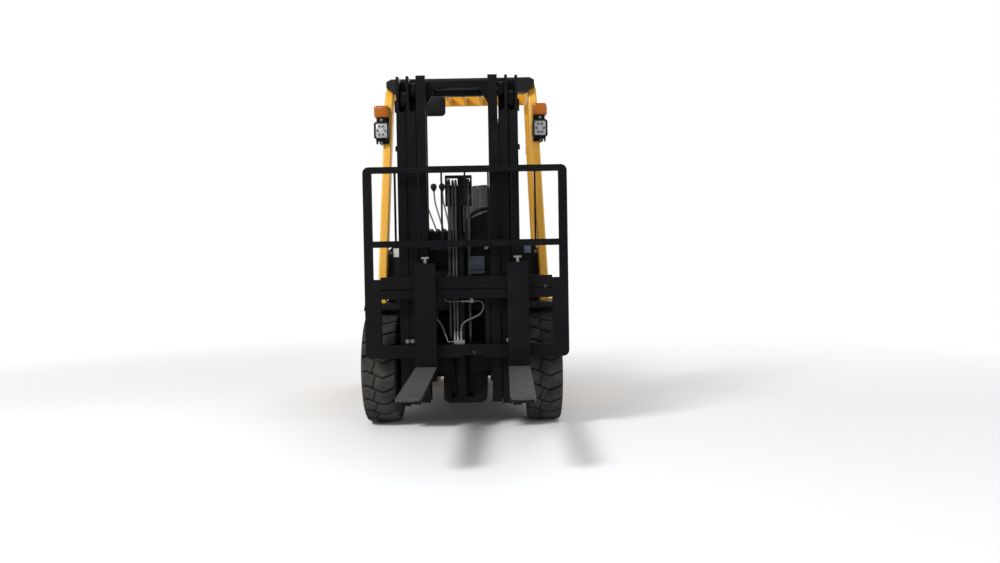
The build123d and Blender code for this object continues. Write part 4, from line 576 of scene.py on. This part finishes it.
# Seat: two swollen pads with sewn channels
PAD_VOXEL = 0.006
PAD_SHRINK = 0.008
PAD_PRESSURE = 4.0
SWELL_STEPS = 20
SWELL_MOST = 0.022
CHANNELS = (-0.15, -0.075, 0.0, 0.075, 0.15)
CHANNEL_WIDTH = 0.007
CHANNEL_DEPTH = 0.009


def swell(piece):
    """Remeshes a pad and lets cloth pressure swell it, no point moving further than the most allowed."""
    remesh = piece.modifiers.new("Remesh", "REMESH")
    remesh.mode = "VOXEL"
    remesh.voxel_size = PAD_VOXEL
    graph = bpy.context.evaluated_depsgraph_get()
    piece.data = bpy.data.meshes.new_from_object(piece.evaluated_get(graph))
    piece.modifiers.clear()
    start = [v.co.copy() for v in piece.data.vertices]
    cloth = piece.modifiers.new("Cloth", "CLOTH")
    cloth.settings.use_pressure = True
    cloth.settings.uniform_pressure_force = PAD_PRESSURE
    cloth.settings.effector_weights.gravity = 0.0
    scene = bpy.context.scene
    for step in range(1, SWELL_STEPS + 1):
        scene.frame_set(step)
    graph = bpy.context.evaluated_depsgraph_get()
    swollen = bpy.data.meshes.new_from_object(piece.evaluated_get(graph))
    piece.modifiers.clear()
    piece.data = swollen
    for vertex, origin in zip(swollen.vertices, start):
        move = vertex.co - origin
        if move.length > SWELL_MOST:
            vertex.co = origin + move * (SWELL_MOST / move.length)
    scene.frame_set(1)


def sewn_pad(node, facing):
    """Makes the swollen pad that stands for a seat node, with channels sewn into the side with one facing."""
    source = frame["nodes"][node]
    low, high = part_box(node)
    piece = new_object(node.replace("seat", "padded_seat"), source.data.copy())
    middle = mid(node)
    size = Vector(high) - Vector(low)
    for vertex in piece.data.vertices:
        for k in range(3):
            vertex.co[k] = middle[k] + (vertex.co[k] - middle[k]) * (1 - 2 * PAD_SHRINK / size[k])
    swell(piece)
    mesh = piece.data
    mesh.materials.clear()
    mesh.materials.append(FINISHES["seat_vinyl"][0])
    mesh.polygons.foreach_set("use_smooth", [True] * len(mesh.polygons))
    for vertex in mesh.vertices:
        normal = vertex.normal.copy()
        place = vertex.co[0] - middle[0]
        sunk = sum(exp(-((place - line) / CHANNEL_WIDTH) ** 2) for line in CHANNELS)
        inner = abs(place) < CHANNELS[-1] + 0.001
        vertex.co -= normal * CHANNEL_DEPTH * sunk * max(0.0, normal.dot(facing)) * (1.0 if inner else 0.8)
    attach(piece, "hood")
    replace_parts(piece, node)


sewn_pad("seat_cushion", Vector((0, 0, 1)))
sewn_pad("seat_back", Vector((0, -0.97, 0.22)))


# Chains: leaf plates on pins, in a front run, a half turn over the sheave and a rear run
LINK = 0.0125
LEAF = 0.0024
LEAF_HALF = 0.006
LEAF_END = ((1.0, 0.0), (0.72, 0.55), (0.0, 0.8), (-0.72, 0.55), (-1.0, 0.0))
LEAF_WAIST = 0.68
ROW_STEP = 1.12
PIN = ((-0.0068, 0.0005), (-0.0068, 0.0026), (0.0068, 0.0026), (0.0068, 0.0005))
SHORT_END = 0.08
END_GAP = 0.0014


def leaf(shape, x, y, low, high, foot=1.0, head=1.0):
    """Joins one waisted link plate standing between two pin heights; its ends may be shortened."""
    middle = (low + high) / 2
    end = [(a * LEAF_HALF, b * LEAF_HALF) for a, b in LEAF_END]
    outline = [(a, high + head * b) for a, b in end] + [(-LEAF_WAIST * LEAF_HALF, middle)]
    outline += [(-a, low - foot * b) for a, b in end] + [(LEAF_WAIST * LEAF_HALF, middle)]
    shape.prism([(x - LEAF / 2, y + a, b) for a, b in outline], (LEAF, 0, 0))


def add_link(shape, k, x, *plate):
    """Joins the plates of one link: three outer rows on odd links and two inner rows on even ones."""
    for row in (-2, 0, 2) if k % 2 else (-1, 1):
        leaf(shape, x + ROW_STEP * row * LEAF, *plate)


def leaf_run(shape, x, y, low, high):
    """Joins a straight run of leaf chain between two heights; its top link has the outer rows."""
    count = 2 * round((high - low) / LINK / 2)
    pitch = (high - low) / count
    for k in range(count):
        add_link(shape, k, x, y, low + k * pitch, low + (k + 1) * pitch)
    for k in range(1, count):
        shape.turned((x, y, low + k * pitch), (1, 0, 0), PIN, 8)


def leaf_turn(shape, x, y, z, radius):
    """Joins the half turn of leaf chain over a sheave; both its end links have the inner rows and a short end."""
    count = 2 * round((pi * radius / LINK - 1) / 2) + 1
    reach = pi * radius / count
    for k in range(count):
        link = Shape()
        first, last = k == 0, k == count - 1
        low, high = END_GAP * first - reach / 2, reach / 2 - END_GAP * last
        add_link(link, k, x, -radius, low, high, SHORT_END if first else 1.0, SHORT_END if last else 1.0)
        turn = Matrix.Translation((0, y, z)) @ Matrix.Rotation(-pi * (k + 0.5) / count, 4, "X")
        shape.add([turn @ vertex for vertex in link.verts], link.faces)


def moving_runs(node, finish, runs, front, back, low, turn):
    """Makes the three runs of a chain or hose: the front and rear runs stand in place on no body, and the turns ride on
    the lift head.
    """
    first = make_piece(f"{node}_front_runs", runs[0], finish, None)
    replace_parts(first, node)
    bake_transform(first)
    make_piece(f"{node}_turns", runs[1], finish, "lift_head")
    last = make_piece(f"{node}_rear_runs", runs[2], finish, None)
    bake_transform(last)


CHAIN_ANCHOR = 1.128
CHAIN_HALF = 0.007
HOSE_STAY = 1.184
LIFT_HOSE = 0.006


def run_places(node, half):
    """Gives where a chain's or hose's runs are: the two across, front, back, foot and turn, and the turn's radius."""
    low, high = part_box(node)
    front, back = low[1] + half, high[1] - half
    radius = (back - front) / 2
    return (low[0] + half, high[0] - half), front, back, low[2], high[2] - half - radius, radius


def add_chains():
    """Replaces the plain lift chains by leaf chains."""
    places, front, back, low, turn, radius = run_places("lift_chains", CHAIN_HALF)
    runs = (Shape(), Shape(), Shape())
    for x in places:
        leaf_run(runs[0], x, front, low, turn)
        leaf_turn(runs[1], x, front + radius, turn, radius)
        leaf_run(runs[2], x, back, CHAIN_ANCHOR, turn)
    moving_runs("lift_chains", "chain_steel", runs, front, back, low, turn)


def upright(x, y, low, high, parts):
    """Gives even points up a straight line."""
    return [(x, y, low + (high - low) * k / parts) for k in range(parts + 1)]


def add_hoses():
    """Replaces the plain lift hoses by smooth ones."""
    places, front, back, low, turn, bend = run_places("lift_hoses", LIFT_HOSE)
    runs = (Shape(), Shape(), Shape())
    for x in places:
        runs[0].tube(upright(x, front, low, turn, 40), LIFT_HOSE, 14)
        over = [(x, front, turn), (x, front, turn + 0.62 * bend), (x, front + 0.45 * bend, turn + 1.06 * bend)]
        over += [(x, back - 0.45 * bend, turn + 1.06 * bend), (x, back, turn + 0.62 * bend), (x, back, turn)]
        runs[1].tube(smooth_route(over, 8), LIFT_HOSE, 14)
        runs[2].tube(upright(x, back, HOSE_STAY, turn, 12), LIFT_HOSE, 14)
    moving_runs("lift_hoses", "hose_grey", runs, front, back, low, turn)


add_chains()
add_hoses()


# Carriage: braided side-shift hoses with their steel fittings, the bolts of the lower hooks and sockets in the bars
HOSE_ROUTE = (
    (0.004, 0.546), (0.004, 0.600), (0.007, 0.632), (0.026, 0.656), (0.060, 0.672), (0.100, 0.688), (0.126, 0.706),
    (0.140, 0.735), (0.139, 0.762), (0.124, 0.779), (0.100, 0.780), (0.078, 0.780),
)
SECOND_ROUTE = ((0.010, 0.780), (-0.030, 0.780), (-0.070, 0.778), (-0.092, 0.786), (-0.098, 0.815))
THIRD_ROUTE = (
    (-0.096, 0.586), (-0.101, 0.612), (-0.118, 0.648), (-0.148, 0.680), (-0.166, 0.725), (-0.168, 0.770),
    (-0.168, 0.815),
)
ELBOW_ROUTE = ((-0.040, 0.537), (-0.062, 0.536), (-0.080, 0.537), (-0.084, 0.562), (-0.098, 0.592))
BRAID_RADIUS = 0.0062
COLLAR = ((0.0, 0.0004), (0.0, 0.0098), (0.012, 0.0098), (0.014, 0.0082), (0.055, 0.0082), (0.058, 0.0004))
NIPPLE = ((0.0, 0.0004), (0.0, 0.0092), (0.03, 0.0092), (0.033, 0.0076), (0.074, 0.0076), (0.076, 0.0004))
SOCKET = ((0.0, 0.0088), (-0.0025, 0.0092), (-0.0035, 0.0076), (-0.0012, 0.0055), (-0.0012, 0.0004))
BOLT = (0.016, 0.009)


def add_carriage_fittings():
    """Adds the hoses, the fittings and the bolts on the carriage and the fork bars."""
    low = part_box("carriage_hose")[0]
    y = low[1] + 0.0075
    tube = Shape()
    for route in (HOSE_ROUTE, SECOND_ROUTE, THIRD_ROUTE):
        tube.tube(smooth_route([(x, y, z) for x, z in route]), BRAID_RADIUS, 14)
    hose = make_piece("side_shift_hose", tube, "hose_braid", "carriage")
    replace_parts(hose, "carriage_hose")
    steel = Shape()
    tee = low[2] + 0.05
    steel.box((low[0], low[1], low[2]), (0.024, low[1] + 0.021, tee), 0.003)
    steel.turned((0.004, y, tee - 0.004), (0, 0, 1), COLLAR, 6)
    for x in (-0.035, -0.017):
        steel.turned((x, low[1] + 0.014, tee - 0.004), (0, 0, 1), [(a, 0.85 * r) for a, r in COLLAR], 6)
    steel.turned((0.082, y, 0.780), (-1, 0, 0), NIPPLE, 6)
    steel.box((0.060, low[1], 0.769), (0.078, low[1] + 0.016, 0.818), 0.002)
    steel.tube(smooth_route([(x, y, z) for x, z in ELBOW_ROUTE]), 0.0055, 12)
    make_piece("hose_fittings", steel, "zinc_bolt", "carriage")

    hooks = Shape()
    for x in (-0.3, 0.3):
        for dx in (-0.015, 0.015):
            hooks.bolt((x + dx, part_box("lift_carriage")[0][1], 0.5465), (0, -1, 0), *BOLT)
    make_piece("hook_bolts", hooks, "zinc_bolt", "carriage")
    sockets = Shape()
    for x, z in ((0.083, 0.478), (0.5094, 0.8646)):
        sockets.turned((x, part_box("fork_carrier")[0][1], z), (0, 1, 0), SOCKET, 24)
    make_piece("bar_sockets", sockets, "chain_steel", "fork_frame")


add_carriage_fittings()


# Cowl: bolts, blank plates, a gusset and the edging at the pillars
PLATE_THICK = 0.0016
PLATE_BEVEL = 0.0007
EDGING_ROUTE = ((0.502, 0.790), (0.494, 0.950), (0.487, 1.098))
EDGING_RADIUS = 0.009


def add_cowl_fixings():
    """Adds what is fixed to the front of the cowl, and the blank plate on the mast's tie before it."""
    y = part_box("front_cowl")[0][1]
    face = y - PLATE_THICK
    bolts = Shape()
    for x, z in ((-0.4815, 1.079), (0.4785, 1.076), (-0.0955, 0.974), (-0.0965, 0.921)):
        bolts.bolt((x, y, z), (0, -1, 0), *BOLT)
    make_piece("cowl_bolts", bolts, "zinc_bolt")
    white = Shape()
    white.box((-0.4615, face, 1.052), (-0.4235, y, 1.110), PLATE_BEVEL)
    make_piece("white_plates", white, "plate_white")
    grey = Shape()
    grey.box((0.401, face, 1.066), (0.446, y, 1.112), PLATE_BEVEL)
    grey.box((0.034, face, 0.934), (0.138, y, 1.049), PLATE_BEVEL)
    make_piece("grey_plates", grey, "plate_grey")
    tie = Shape()
    tie.box((0.0475, -0.5156, 0.964), (0.146, -0.514, 1.048), PLATE_BEVEL)
    make_piece("mast_plate", tie, "plate_grey", "mast_outer")
    gusset = Shape()
    gusset.prism([(0.140, y, 1.112), (0.168, y, 1.112), (0.146, y, 1.060), (0.140, y, 1.060)], (0, -0.003, 0))
    make_piece("cowl_gusset", gusset, "lamp_silver")
    edging = Shape()
    for sign in (-1, 1):
        edging.tube([(sign * x, y + EDGING_RADIUS, z) for x, z in EDGING_ROUTE], EDGING_RADIUS, 14)
    make_piece("cowl_edging", edging, "hose_rubber")


add_cowl_fixings()


# Lamps: panels with six light cups, fins, brackets and lens rims
LAMP_HALF = (0.047, 0.056)
LAMP_DROP = 0.124
CUP = ((0.0, 0.0108), (-0.0045, 0.0112), (-0.0045, 0.0096), (-0.0008, 0.0052), (-0.0008, 0.0004))
LIGHT = ((-0.0008, 0.0074), (-0.0034, 0.0062), (-0.0046, 0.0035), (-0.005, 0.0003))
STAR = ((0.0, 0.0085), (-0.0025, 0.0078), (-0.0025, 0.0003))
# Share of the lamp's half size, and distance before its back
LENS_STEPS = (
    (0.98, 0.0), (1.0, 0.010), (1.0, 0.030), (0.985, 0.042), (0.93, 0.050), (0.80, 0.0535), (0.4, 0.055), (0.02, 0.055),
)
RIM_STEPS = ((0.9, 0.0), (1.02, 0.0), (1.02, 0.009), (0.9, 0.010))
LENS_CORNER = 0.015
LENS_TAPER = 0.9


def add_lamps():
    """Adds the faces of the work lamps, the rims of the signals and the fixings of both."""
    low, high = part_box("work_lamps")
    signal_low, signal_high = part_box("turn_signals")
    middle = (signal_low[2] + signal_high[2]) / 2
    tall = (signal_high[2] - signal_low[2]) / 2
    z = middle - LAMP_DROP
    front = low[1]
    face = front + 0.0065
    panels, cups, lights, bolts, brackets, rims, lenses = (Shape() for _ in range(7))
    for sign in (-1, 1):
        x = sign * (high[0] - LAMP_HALF[0])
        panels.box((x - 0.0375, face, z - 0.0465), (x + 0.0375, face + 0.0024, z + 0.0465), 0.001)
        for k in range(6):
            angle = pi / 3 * k
            spot = (x + 0.0245 * cos(angle), face, z + 0.0310 * sin(angle))
            cups.turned(spot, (0, 1, 0), CUP, 24)
            lights.turned(spot, (0, 1, 0), LIGHT, 20)
        cups.turned((x, face, z), (0, 1, 0), STAR, 6)
        for dx, dz in ((-0.032, -0.041), (0.032, -0.041), (-0.032, 0.041), (0.032, 0.041)):
            bolts.bolt((x + dx, face, z + dz), (0, -1, 0), 0.005, 0.002, False)
        for k in range(7):
            fin = z - 0.042 + 0.014 * k
            for edge in (x - LAMP_HALF[0], x + LAMP_HALF[0]):
                corner = (edge + 0.003, front + 0.053, fin + 0.002)
                brackets.box((edge - 0.003, front + 0.014, fin - 0.002), corner, 0.0008)
        brackets.box((x - 0.036, front + 0.012, z - 0.068), (x + 0.036, front + 0.052, z - 0.0555), 0.002)
        for dx in (-0.030, 0.030):
            brackets.box((x + dx - 0.005, front + 0.018, z - 0.086), (x + dx + 0.005, front + 0.042, z - 0.066), 0.002)
        brackets.box((x - 0.032, front + 0.018, z + 0.0555), (x + 0.032, front + 0.050, z + 0.0855), 0.003)
        bolts.bolt((x, front + 0.032, z - 0.068), (0, 0, -1), 0.014, 0.022)
        bolts.bolt((x, front + 0.018, z + 0.070), (0, -1, 0), 0.012, 0.006)
        rows = []
        for share, ahead in LENS_STEPS:
            outline = rounded(share * LAMP_HALF[0], share * tall, LENS_CORNER * share)
            outline = [(a * (1 + LENS_TAPER * b) if b < 0 else a, b) for a, b in outline]
            rows.append([(x + a, signal_high[1] - ahead, middle + b) for a, b in outline])
        lenses.rings(rows)
        rows = []
        for share, ahead in RIM_STEPS:
            outline = rounded(share * LAMP_HALF[0], share * tall, LENS_CORNER)
            rows.append([(x + a, signal_high[1] - ahead, middle + b) for a, b in outline])
        rims.grid(rows, close_columns=True)
    make_piece("lamp_panels", panels, "lamp_silver")
    make_piece("lamp_cups", cups, "lamp_silver")
    make_piece("lamp_lights", lights, "led_dark")
    make_piece("lamp_bolts", bolts, "zinc_bolt")
    make_piece("lamp_brackets", brackets, "black_paint")
    make_piece("signal_rims", rims, "black_plastic")
    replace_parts(make_piece("signal_lenses", lenses, "amber_lens"), "turn_signals")


add_lamps()


# Wheels: number of nuts, radius of their ring, places of the disc and the hub, and radius of the hub cap
WHEEL_FITTINGS = {"front": (8, 0.110, 0.541, 0.573, 0.070), "rear": (6, 0.077, 0.554, 0.586, 0.050)}
HUB_CAP = (
    (0.0, 0.98), (0.0, 1.0), (0.008, 1.0), (0.012, 0.96), (0.016, 0.72), (0.019, 0.66), (0.021, 0.3), (0.021, 0.01),
)


def add_wheel_fittings():
    """Adds the wheel nuts and the hub caps on the outer faces of the rims."""
    for end, (count, ring, disc, hub, cap) in WHEEL_FITTINGS.items():
        for side, sign in (("left", 1), ("right", -1)):
            middle = mid(f"{end}_rim_{side}")
            nuts = Shape()
            for k in range(count):
                angle = 2 * pi * (k + 0.5) / count
                spot = (sign * disc, middle[1] + ring * cos(angle), middle[2] + ring * sin(angle))
                nuts.bolt(spot, (sign, 0, 0), 0.27 * ring, 0.02)
            make_piece(f"{end}_wheel_nuts_{side}", nuts, "zinc_bolt", f"{end}_wheel_{side}")
            cover = Shape()
            profile = [(a, cap * r) for a, r in HUB_CAP]
            cover.turned((sign * hub, middle[1], middle[2]), (sign, 0, 0), profile, 40)
            make_piece(f"{end}_hub_cap_{side}", cover, "rim_steel", f"{end}_wheel_{side}")


add_wheel_fittings()


# Cab: mirror, levers with knobs and boots, spinner knob, floor mat, grab handles and seat belt
GLASS_STEPS = ((1.0, 0.0), (1.0, 0.0012), (0.85, 0.0028), (0.6, 0.0044), (0.3, 0.0054), (0.02, 0.0058))
SHELL_STEPS = ((1.0, 0.004), (1.0, -0.002), (0.96, -0.008), (0.85, -0.012), (0.5, -0.015), (0.02, -0.016))
KNOB = (
    (-0.028, 0.007), (-0.022, 0.012), (-0.008, 0.0195), (0.004, 0.0215), (0.014, 0.0195), (0.022, 0.0125),
    (0.025, 0.0004),
)
BOOT = (
    (0.0, 0.026), (0.004, 0.029), (0.009, 0.024), (0.014, 0.026), (0.019, 0.020), (0.024, 0.022), (0.03, 0.015),
    (0.04, 0.0075),
)
LEVERS = (-0.136, -0.192, -0.250, -0.306)
WHEEL_CENTRE = Vector((0.170, 0.190, 1.259))
WHEEL_TILT = radians(45)
WHEEL_RADIUS = 0.165
SPINNER_TURN = radians(-28)
BALL = (
    (0.008, 0.008), (0.022, 0.009), (0.026, 0.018), (0.036, 0.0225), (0.050, 0.021), (0.060, 0.013), (0.063, 0.0004),
)
CLAMP = ((-0.018, 0.012), (-0.018, 0.017), (0.010, 0.019), (0.012, 0.0004))
WHEEL_CAP = ((0.0, 0.048), (0.012, 0.046), (0.020, 0.036), (0.023, 0.018), (0.0235, 0.0004))
GRIP_ROUTE = ((1.22, 0.030), (1.22, 0.105), (1.30, 0.110), (1.62, 0.110), (1.70, 0.105), (1.70, 0.030))
STRAP_ROUTE = ((0.262, 0.98, 1.075), (0.256, 0.93, 1.15), (0.250, 0.90, 1.20), (0.247, 0.93, 1.24))
STRAP_SECTION = ((0, 0.022), (0.0025, 0.022), (0.0025, -0.022), (0, -0.022))
STALK_ROUTE = ((-0.252, 0.98, 1.05), (-0.274, 0.98, 1.06), (-0.276, 0.95, 1.10), (-0.276, 0.948, 1.13))


def add_cab_fittings():
    """Adds the small things in the operator's place."""
    low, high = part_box("rear_view_mirror")
    x, z = (low[0] + high[0]) / 2, low[2] + 0.066
    glass = Shape()
    outline = rounded(0.100, 0.056, 0.022)
    glass.rings([[(x + share * a, high[1] + out, z + share * b) for a, b in outline] for share, out in GLASS_STEPS])
    make_piece("mirror_glass", glass, "mirror_glass")
    shell = Shape()
    outline = rounded(0.110, 0.066, 0.028)
    shell.rings([[(x + share * a, low[1] + out, z + share * b) for a, b in outline] for share, out in SHELL_STEPS])
    make_piece("mirror_shell", shell, "black_plastic")

    rods, knobs, boots = Shape(), Shape(), Shape()
    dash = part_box("control_levers")[0][2]
    for x in LEVERS:
        foot = 0.75 * x + 0.020
        route = [(foot, -0.09, dash), (x + 0.016, -0.062, 1.370), (x + 0.001, -0.057, 1.420), (x - 0.003, -0.05, 1.500)]
        rods.tube(smooth_route(route), 0.006, 14)
        knobs.turned((x - 0.004, -0.05, 1.516), (-0.06, 0.06, 1.0), KNOB, 28)
        boots.turned((foot, -0.09, dash), (0, 0, 1), BOOT, 28)
    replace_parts(make_piece("lever_rods", rods, "zinc_bolt"), "control_levers")
    make_piece("lever_knobs", knobs, "black_plastic")
    make_piece("lever_boots", boots, "hose_rubber")

    axis = Vector((0, sin(WHEEL_TILT), cos(WHEEL_TILT)))
    side = Vector((1, 0, 0))
    ahead = axis.cross(side)
    spinner = Shape()
    spot = WHEEL_CENTRE + WHEEL_RADIUS * (side * cos(SPINNER_TURN) + ahead * sin(SPINNER_TURN))
    spinner.turned(spot, axis, BALL, 28)
    spinner.turned(spot, axis, CLAMP, 20)
    make_piece("wheel_spinner", spinner, "black_plastic", "steering_wheel")
    cap = Shape()
    cap.turned(WHEEL_CENTRE, axis, WHEEL_CAP, 36)
    make_piece("wheel_cap", cap, "black_plastic", "steering_wheel")

    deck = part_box("floor_plate")[1][2]
    mat = Shape()
    mat.box((-0.365, 0.04, deck), (0.365, 0.455, deck + 0.004), 0.0015)
    for k in range(25):
        rib = -0.348 + 0.029 * k
        mat.box((rib - 0.005, 0.055, deck + 0.002), (rib + 0.005, 0.440, deck + 0.007), 0.002)
    make_piece("floor_mat", mat, "mat_rubber")

    grips = Shape()
    for sign in (-1, 1):
        route = []
        for z, out in GRIP_ROUTE:
            pillar = -0.215 + (z - 0.757) * 0.0853
            route.append((sign * (0.535 - (z - 0.69) * 0.0442), pillar + out, z))
        grips.tube(smooth_route(route, 10), 0.011, 16)
    make_piece("grab_handles", grips, "black_paint")

    belt, stalk = Shape(), Shape()
    belt.rings([[p + Vector((a, b, 0)) for a, b in STRAP_SECTION] for p in smooth_route(STRAP_ROUTE, 8)])
    belt.box((0.2485, 0.925, 1.035), (0.290, 1.010, 1.095), 0.006)
    belt.box((-0.290, 0.930, 1.120), (-0.262, 0.966, 1.190), 0.005)
    make_piece("seat_belt", belt, "belt_web", "hood")
    stalk.tube(smooth_route(STALK_ROUTE, 8), 0.006, 10)
    make_piece("belt_stalk", stalk, "black_plastic", "hood")


add_cab_fittings()


# Body: hood louvres and latch, seat bellows, filler cap, step treads, grille mesh and rims of the rear lamps
SLAT_TILT = radians(32)
CAP_SPOT = Vector((0.498, 0.62, 0.690))
CAP_RIM = (
    (0.0, 0.030), (0.004, 0.036), (0.007, 0.036), (0.008, 0.030), (0.024, 0.029), (0.028, 0.025), (0.028, 0.0005),
)
CAP_RIB = Vector((0.002, 0.003, 0.007))
WIRE_RADIUS = 0.0012


def add_body_fittings():
    """Adds the details of the hood, the steps and the counterweight."""
    slats = Shape()
    for sign in (-1, 1):
        for k in range(7):
            z = 0.748 + 0.022 * k
            x = 0.430 - 0.0816 * (z - 0.695)
            turn = Matrix.Rotation(sign * SLAT_TILT, 4, "Y")
            slats.box((sign * x - 0.011, 0.640, z - 0.002), (sign * x + 0.011, 0.930, z + 0.002), 0.0012, turn)
    make_piece("hood_louvres", slats, "black_paint", "hood")
    latch = Shape()
    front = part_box("engine_hood")[0][1]
    latch.box((-0.055, front - 0.006, 0.872), (0.055, front + 0.002, 0.912), 0.004)
    latch.box((-0.038, front - 0.014, 0.884), (0.038, front - 0.004, 0.896), 0.004)
    make_piece("hood_latch", latch, "black_plastic", "hood")

    bellows = Shape()
    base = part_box("seat_base")[0][2]
    rows = []
    for k in range(17):
        out = 0.009 if k % 2 else 0.002
        height = base + 0.001 + 0.0033 * k
        rows.append([(a, 0.835 + b, height) for a, b in rounded(0.192 + out, 0.207 + out, 0.03)])
    bellows.rings(rows)
    make_piece("seat_bellows", bellows, "hose_rubber", "hood")
    cap = Shape()
    cap.turned(CAP_SPOT, (0, 0, 1), CAP_RIM, 40)
    for k in range(12):
        angle = 2 * pi * k / 12
        spot = CAP_SPOT + Vector((0.0295 * cos(angle), 0.0295 * sin(angle), 0.016))
        cap.box(spot - CAP_RIB, spot + CAP_RIB, 0.001, Matrix.Rotation(angle, 4, "Z"))
    make_piece("tank_cap", cap, "black_plastic")

    treads = Shape()
    for sign in (-1, 1):
        for row in range(6):
            for k in range(11):
                x = sign * (0.415 + 0.024 * row)
                y = 0.185 + 0.026 * k + 0.013 * (row % 2)
                lean = Matrix.Rotation(radians(45 if (row + k) % 2 else -45), 4, "Z")
                treads.box((x - 0.010, y - 0.003, 0.4395), (x + 0.010, y + 0.003, 0.4425), 0.001, lean)
    make_piece("step_treads", treads, "black_paint")

    low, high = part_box("radiator_grille")
    mesh = Shape()
    for k in range(33):
        x = low[0] + 0.012 + (high[0] - low[0] - 0.024) * k / 32
        mesh.tube([(x, low[1] + 0.006, low[2] + 0.008), (x, low[1] + 0.006, high[2] - 0.008)], WIRE_RADIUS, 6)
    for k in range(13):
        z = low[2] + 0.012 + (high[2] - low[2] - 0.024) * k / 12
        mesh.tube([(low[0] + 0.008, low[1] + 0.0075, z), (high[0] - 0.008, low[1] + 0.0075, z)], WIRE_RADIUS, 6)
    make_piece("grille_mesh", mesh, "black_paint")

    low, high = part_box("rear_lamps")
    rims = Shape()
    outer, inner = rounded(0.0285, 0.0365, 0.006), rounded(0.0245, 0.0325, 0.004)
    loops = ((outer, -0.010), (outer, 0.003), (inner, 0.003), (inner, -0.010))
    for sign in (-1, 1):
        for z in (low[2] + 0.034, high[2] - 0.034):
            x = sign * (high[0] - 0.026)
            rows = [[(x + a, high[1] + out, z + b) for a, b in outline] for outline, out in loops]
            rims.grid(rows, close_rows=True, close_columns=True)
    make_piece("rear_lamp_rims", rims, "black_plastic")


add_body_fittings()


# Mast: gland rings of the lift cylinders
GLAND = ((0.0, 0.9), (0.0, 1.03), (0.022, 1.03), (0.026, 0.98), (0.0305, 0.92), (0.0305, 0.72))


def add_mast_fittings():
    """Adds the gland rings on top of the lift cylinders."""
    low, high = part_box("lift_cylinder_barrels")
    radius = (high[1] - low[1]) / 2
    rings = Shape()
    for sign in (-1, 1):
        spot = (sign * (high[0] - radius), (low[1] + high[1]) / 2, high[2] - 0.030)
        rings.turned(spot, (0, 0, 1), [(a, radius * r) for a, r in GLAND], 36)
    make_piece("cylinder_glands", rings, "zinc_bolt", "mast_outer")


add_mast_fittings()


# Stage: floor, world, lights and camera
FLOOR_HALF = 60
FLOOR_FADE = (2.2, 6.0)


def stage_floor():
    """A pale floor that keeps the truck's shadow near it and fades to white far away."""
    mesh = bpy.data.meshes.new("floor")
    corners = [(FLOOR_HALF * a, FLOOR_HALF * b, 0) for a, b in ((-1, -1), (1, -1), (1, 1), (-1, 1))]
    mesh.from_pydata(corners, [], [(0, 1, 2, 3)])
    floor = new_object("floor", mesh)
    look = Look("floor_pale")
    look.set("Base Color", (0.86, 0.86, 0.86, 1.0))
    look.set("Roughness", 0.9)
    white = look.add("Emission", "Emission")
    length = look.add("VectorMath", "Value", {0: look.place}, operation="LENGTH")
    inputs = {"Fac": look.ramp(length, *FLOOR_FADE), 1: look.shader.outputs["BSDF"], 2: white}
    feed(look.tree.nodes["Material Output"], "Surface", look.add("MixShader", "Shader", inputs))
    mesh.materials.append(look.material)


def studio_world():
    """White behind the truck for the camera and for reflections, and a soft grey light elsewhere."""
    world = bpy.data.worlds.new("studio")
    bpy.context.scene.world = world
    world.use_nodes = True
    tree = world.node_tree
    soft = tree.nodes["Background"]
    feed(soft, "Color", (0.95, 0.97, 1.0, 1.0))
    feed(soft, "Strength", 0.5)
    white = add_node(tree, "Background", {"Color": (1.0, 1.0, 1.0, 1.0)})
    rays = add_node(tree, "LightPath").outputs
    shown = rays["Is Camera Ray"]
    for kind in ("Is Transmission Ray", "Is Glossy Ray"):
        shown = add_node(tree, "Math", {0: shown, 1: rays[kind]}, operation="MAXIMUM").outputs["Value"]
    inputs = {"Fac": shown, 1: soft.outputs["Background"], 2: white.outputs["Background"]}
    feed(tree.nodes["World Output"], "Surface", add_node(tree, "MixShader", inputs).outputs["Shader"])


def area_light(name, place, target, size, watts):
    """Adds a soft square lamp aimed at a point."""
    data = bpy.data.lights.new(name, "AREA")
    data.size = size
    data.energy = watts
    lamp = new_object(name, data)
    lamp.location = place
    lamp.rotation_euler = (Vector(target) - Vector(place)).to_track_quat("-Z", "Y").to_euler()


CAMERA_PLACE = (0.264, -5.964, 1.035)
CAMERA_YAW = 0.249
CAMERA_PITCH = -1.538
CAMERA_ROLL = -0.964
CAMERA_LENS = 31.67


def photo_camera():
    """Stands the camera where the photograph was taken from."""
    data = bpy.data.cameras.new("photo_camera")
    data.sensor_width = 36.0
    data.lens = CAMERA_LENS
    camera = new_object("photo_camera", data)
    turn = Matrix.Rotation(radians(CAMERA_YAW), 4, "Z")
    look = Matrix.Rotation(radians(90 + CAMERA_PITCH), 4, "X")
    roll = Matrix.Rotation(radians(CAMERA_ROLL), 4, "Z")
    camera.matrix_world = Matrix.Translation(CAMERA_PLACE) @ turn @ look @ roll
    bpy.context.scene.camera = camera


stage_floor()
studio_world()
area_light("key", (-3.9, -5.0, 5.2), (0, -0.4, 0.9), 1.7, 470)
area_light("fill", (4.2, -5.0, 2.6), (0, 0, 1.0), 3.5, 55)
area_light("back", (2.5, 5.5, 4.5), (0, 0.5, 1.0), 3.0, 160)
photo_camera()
bpy.context.scene.view_settings.view_transform = "Standard"
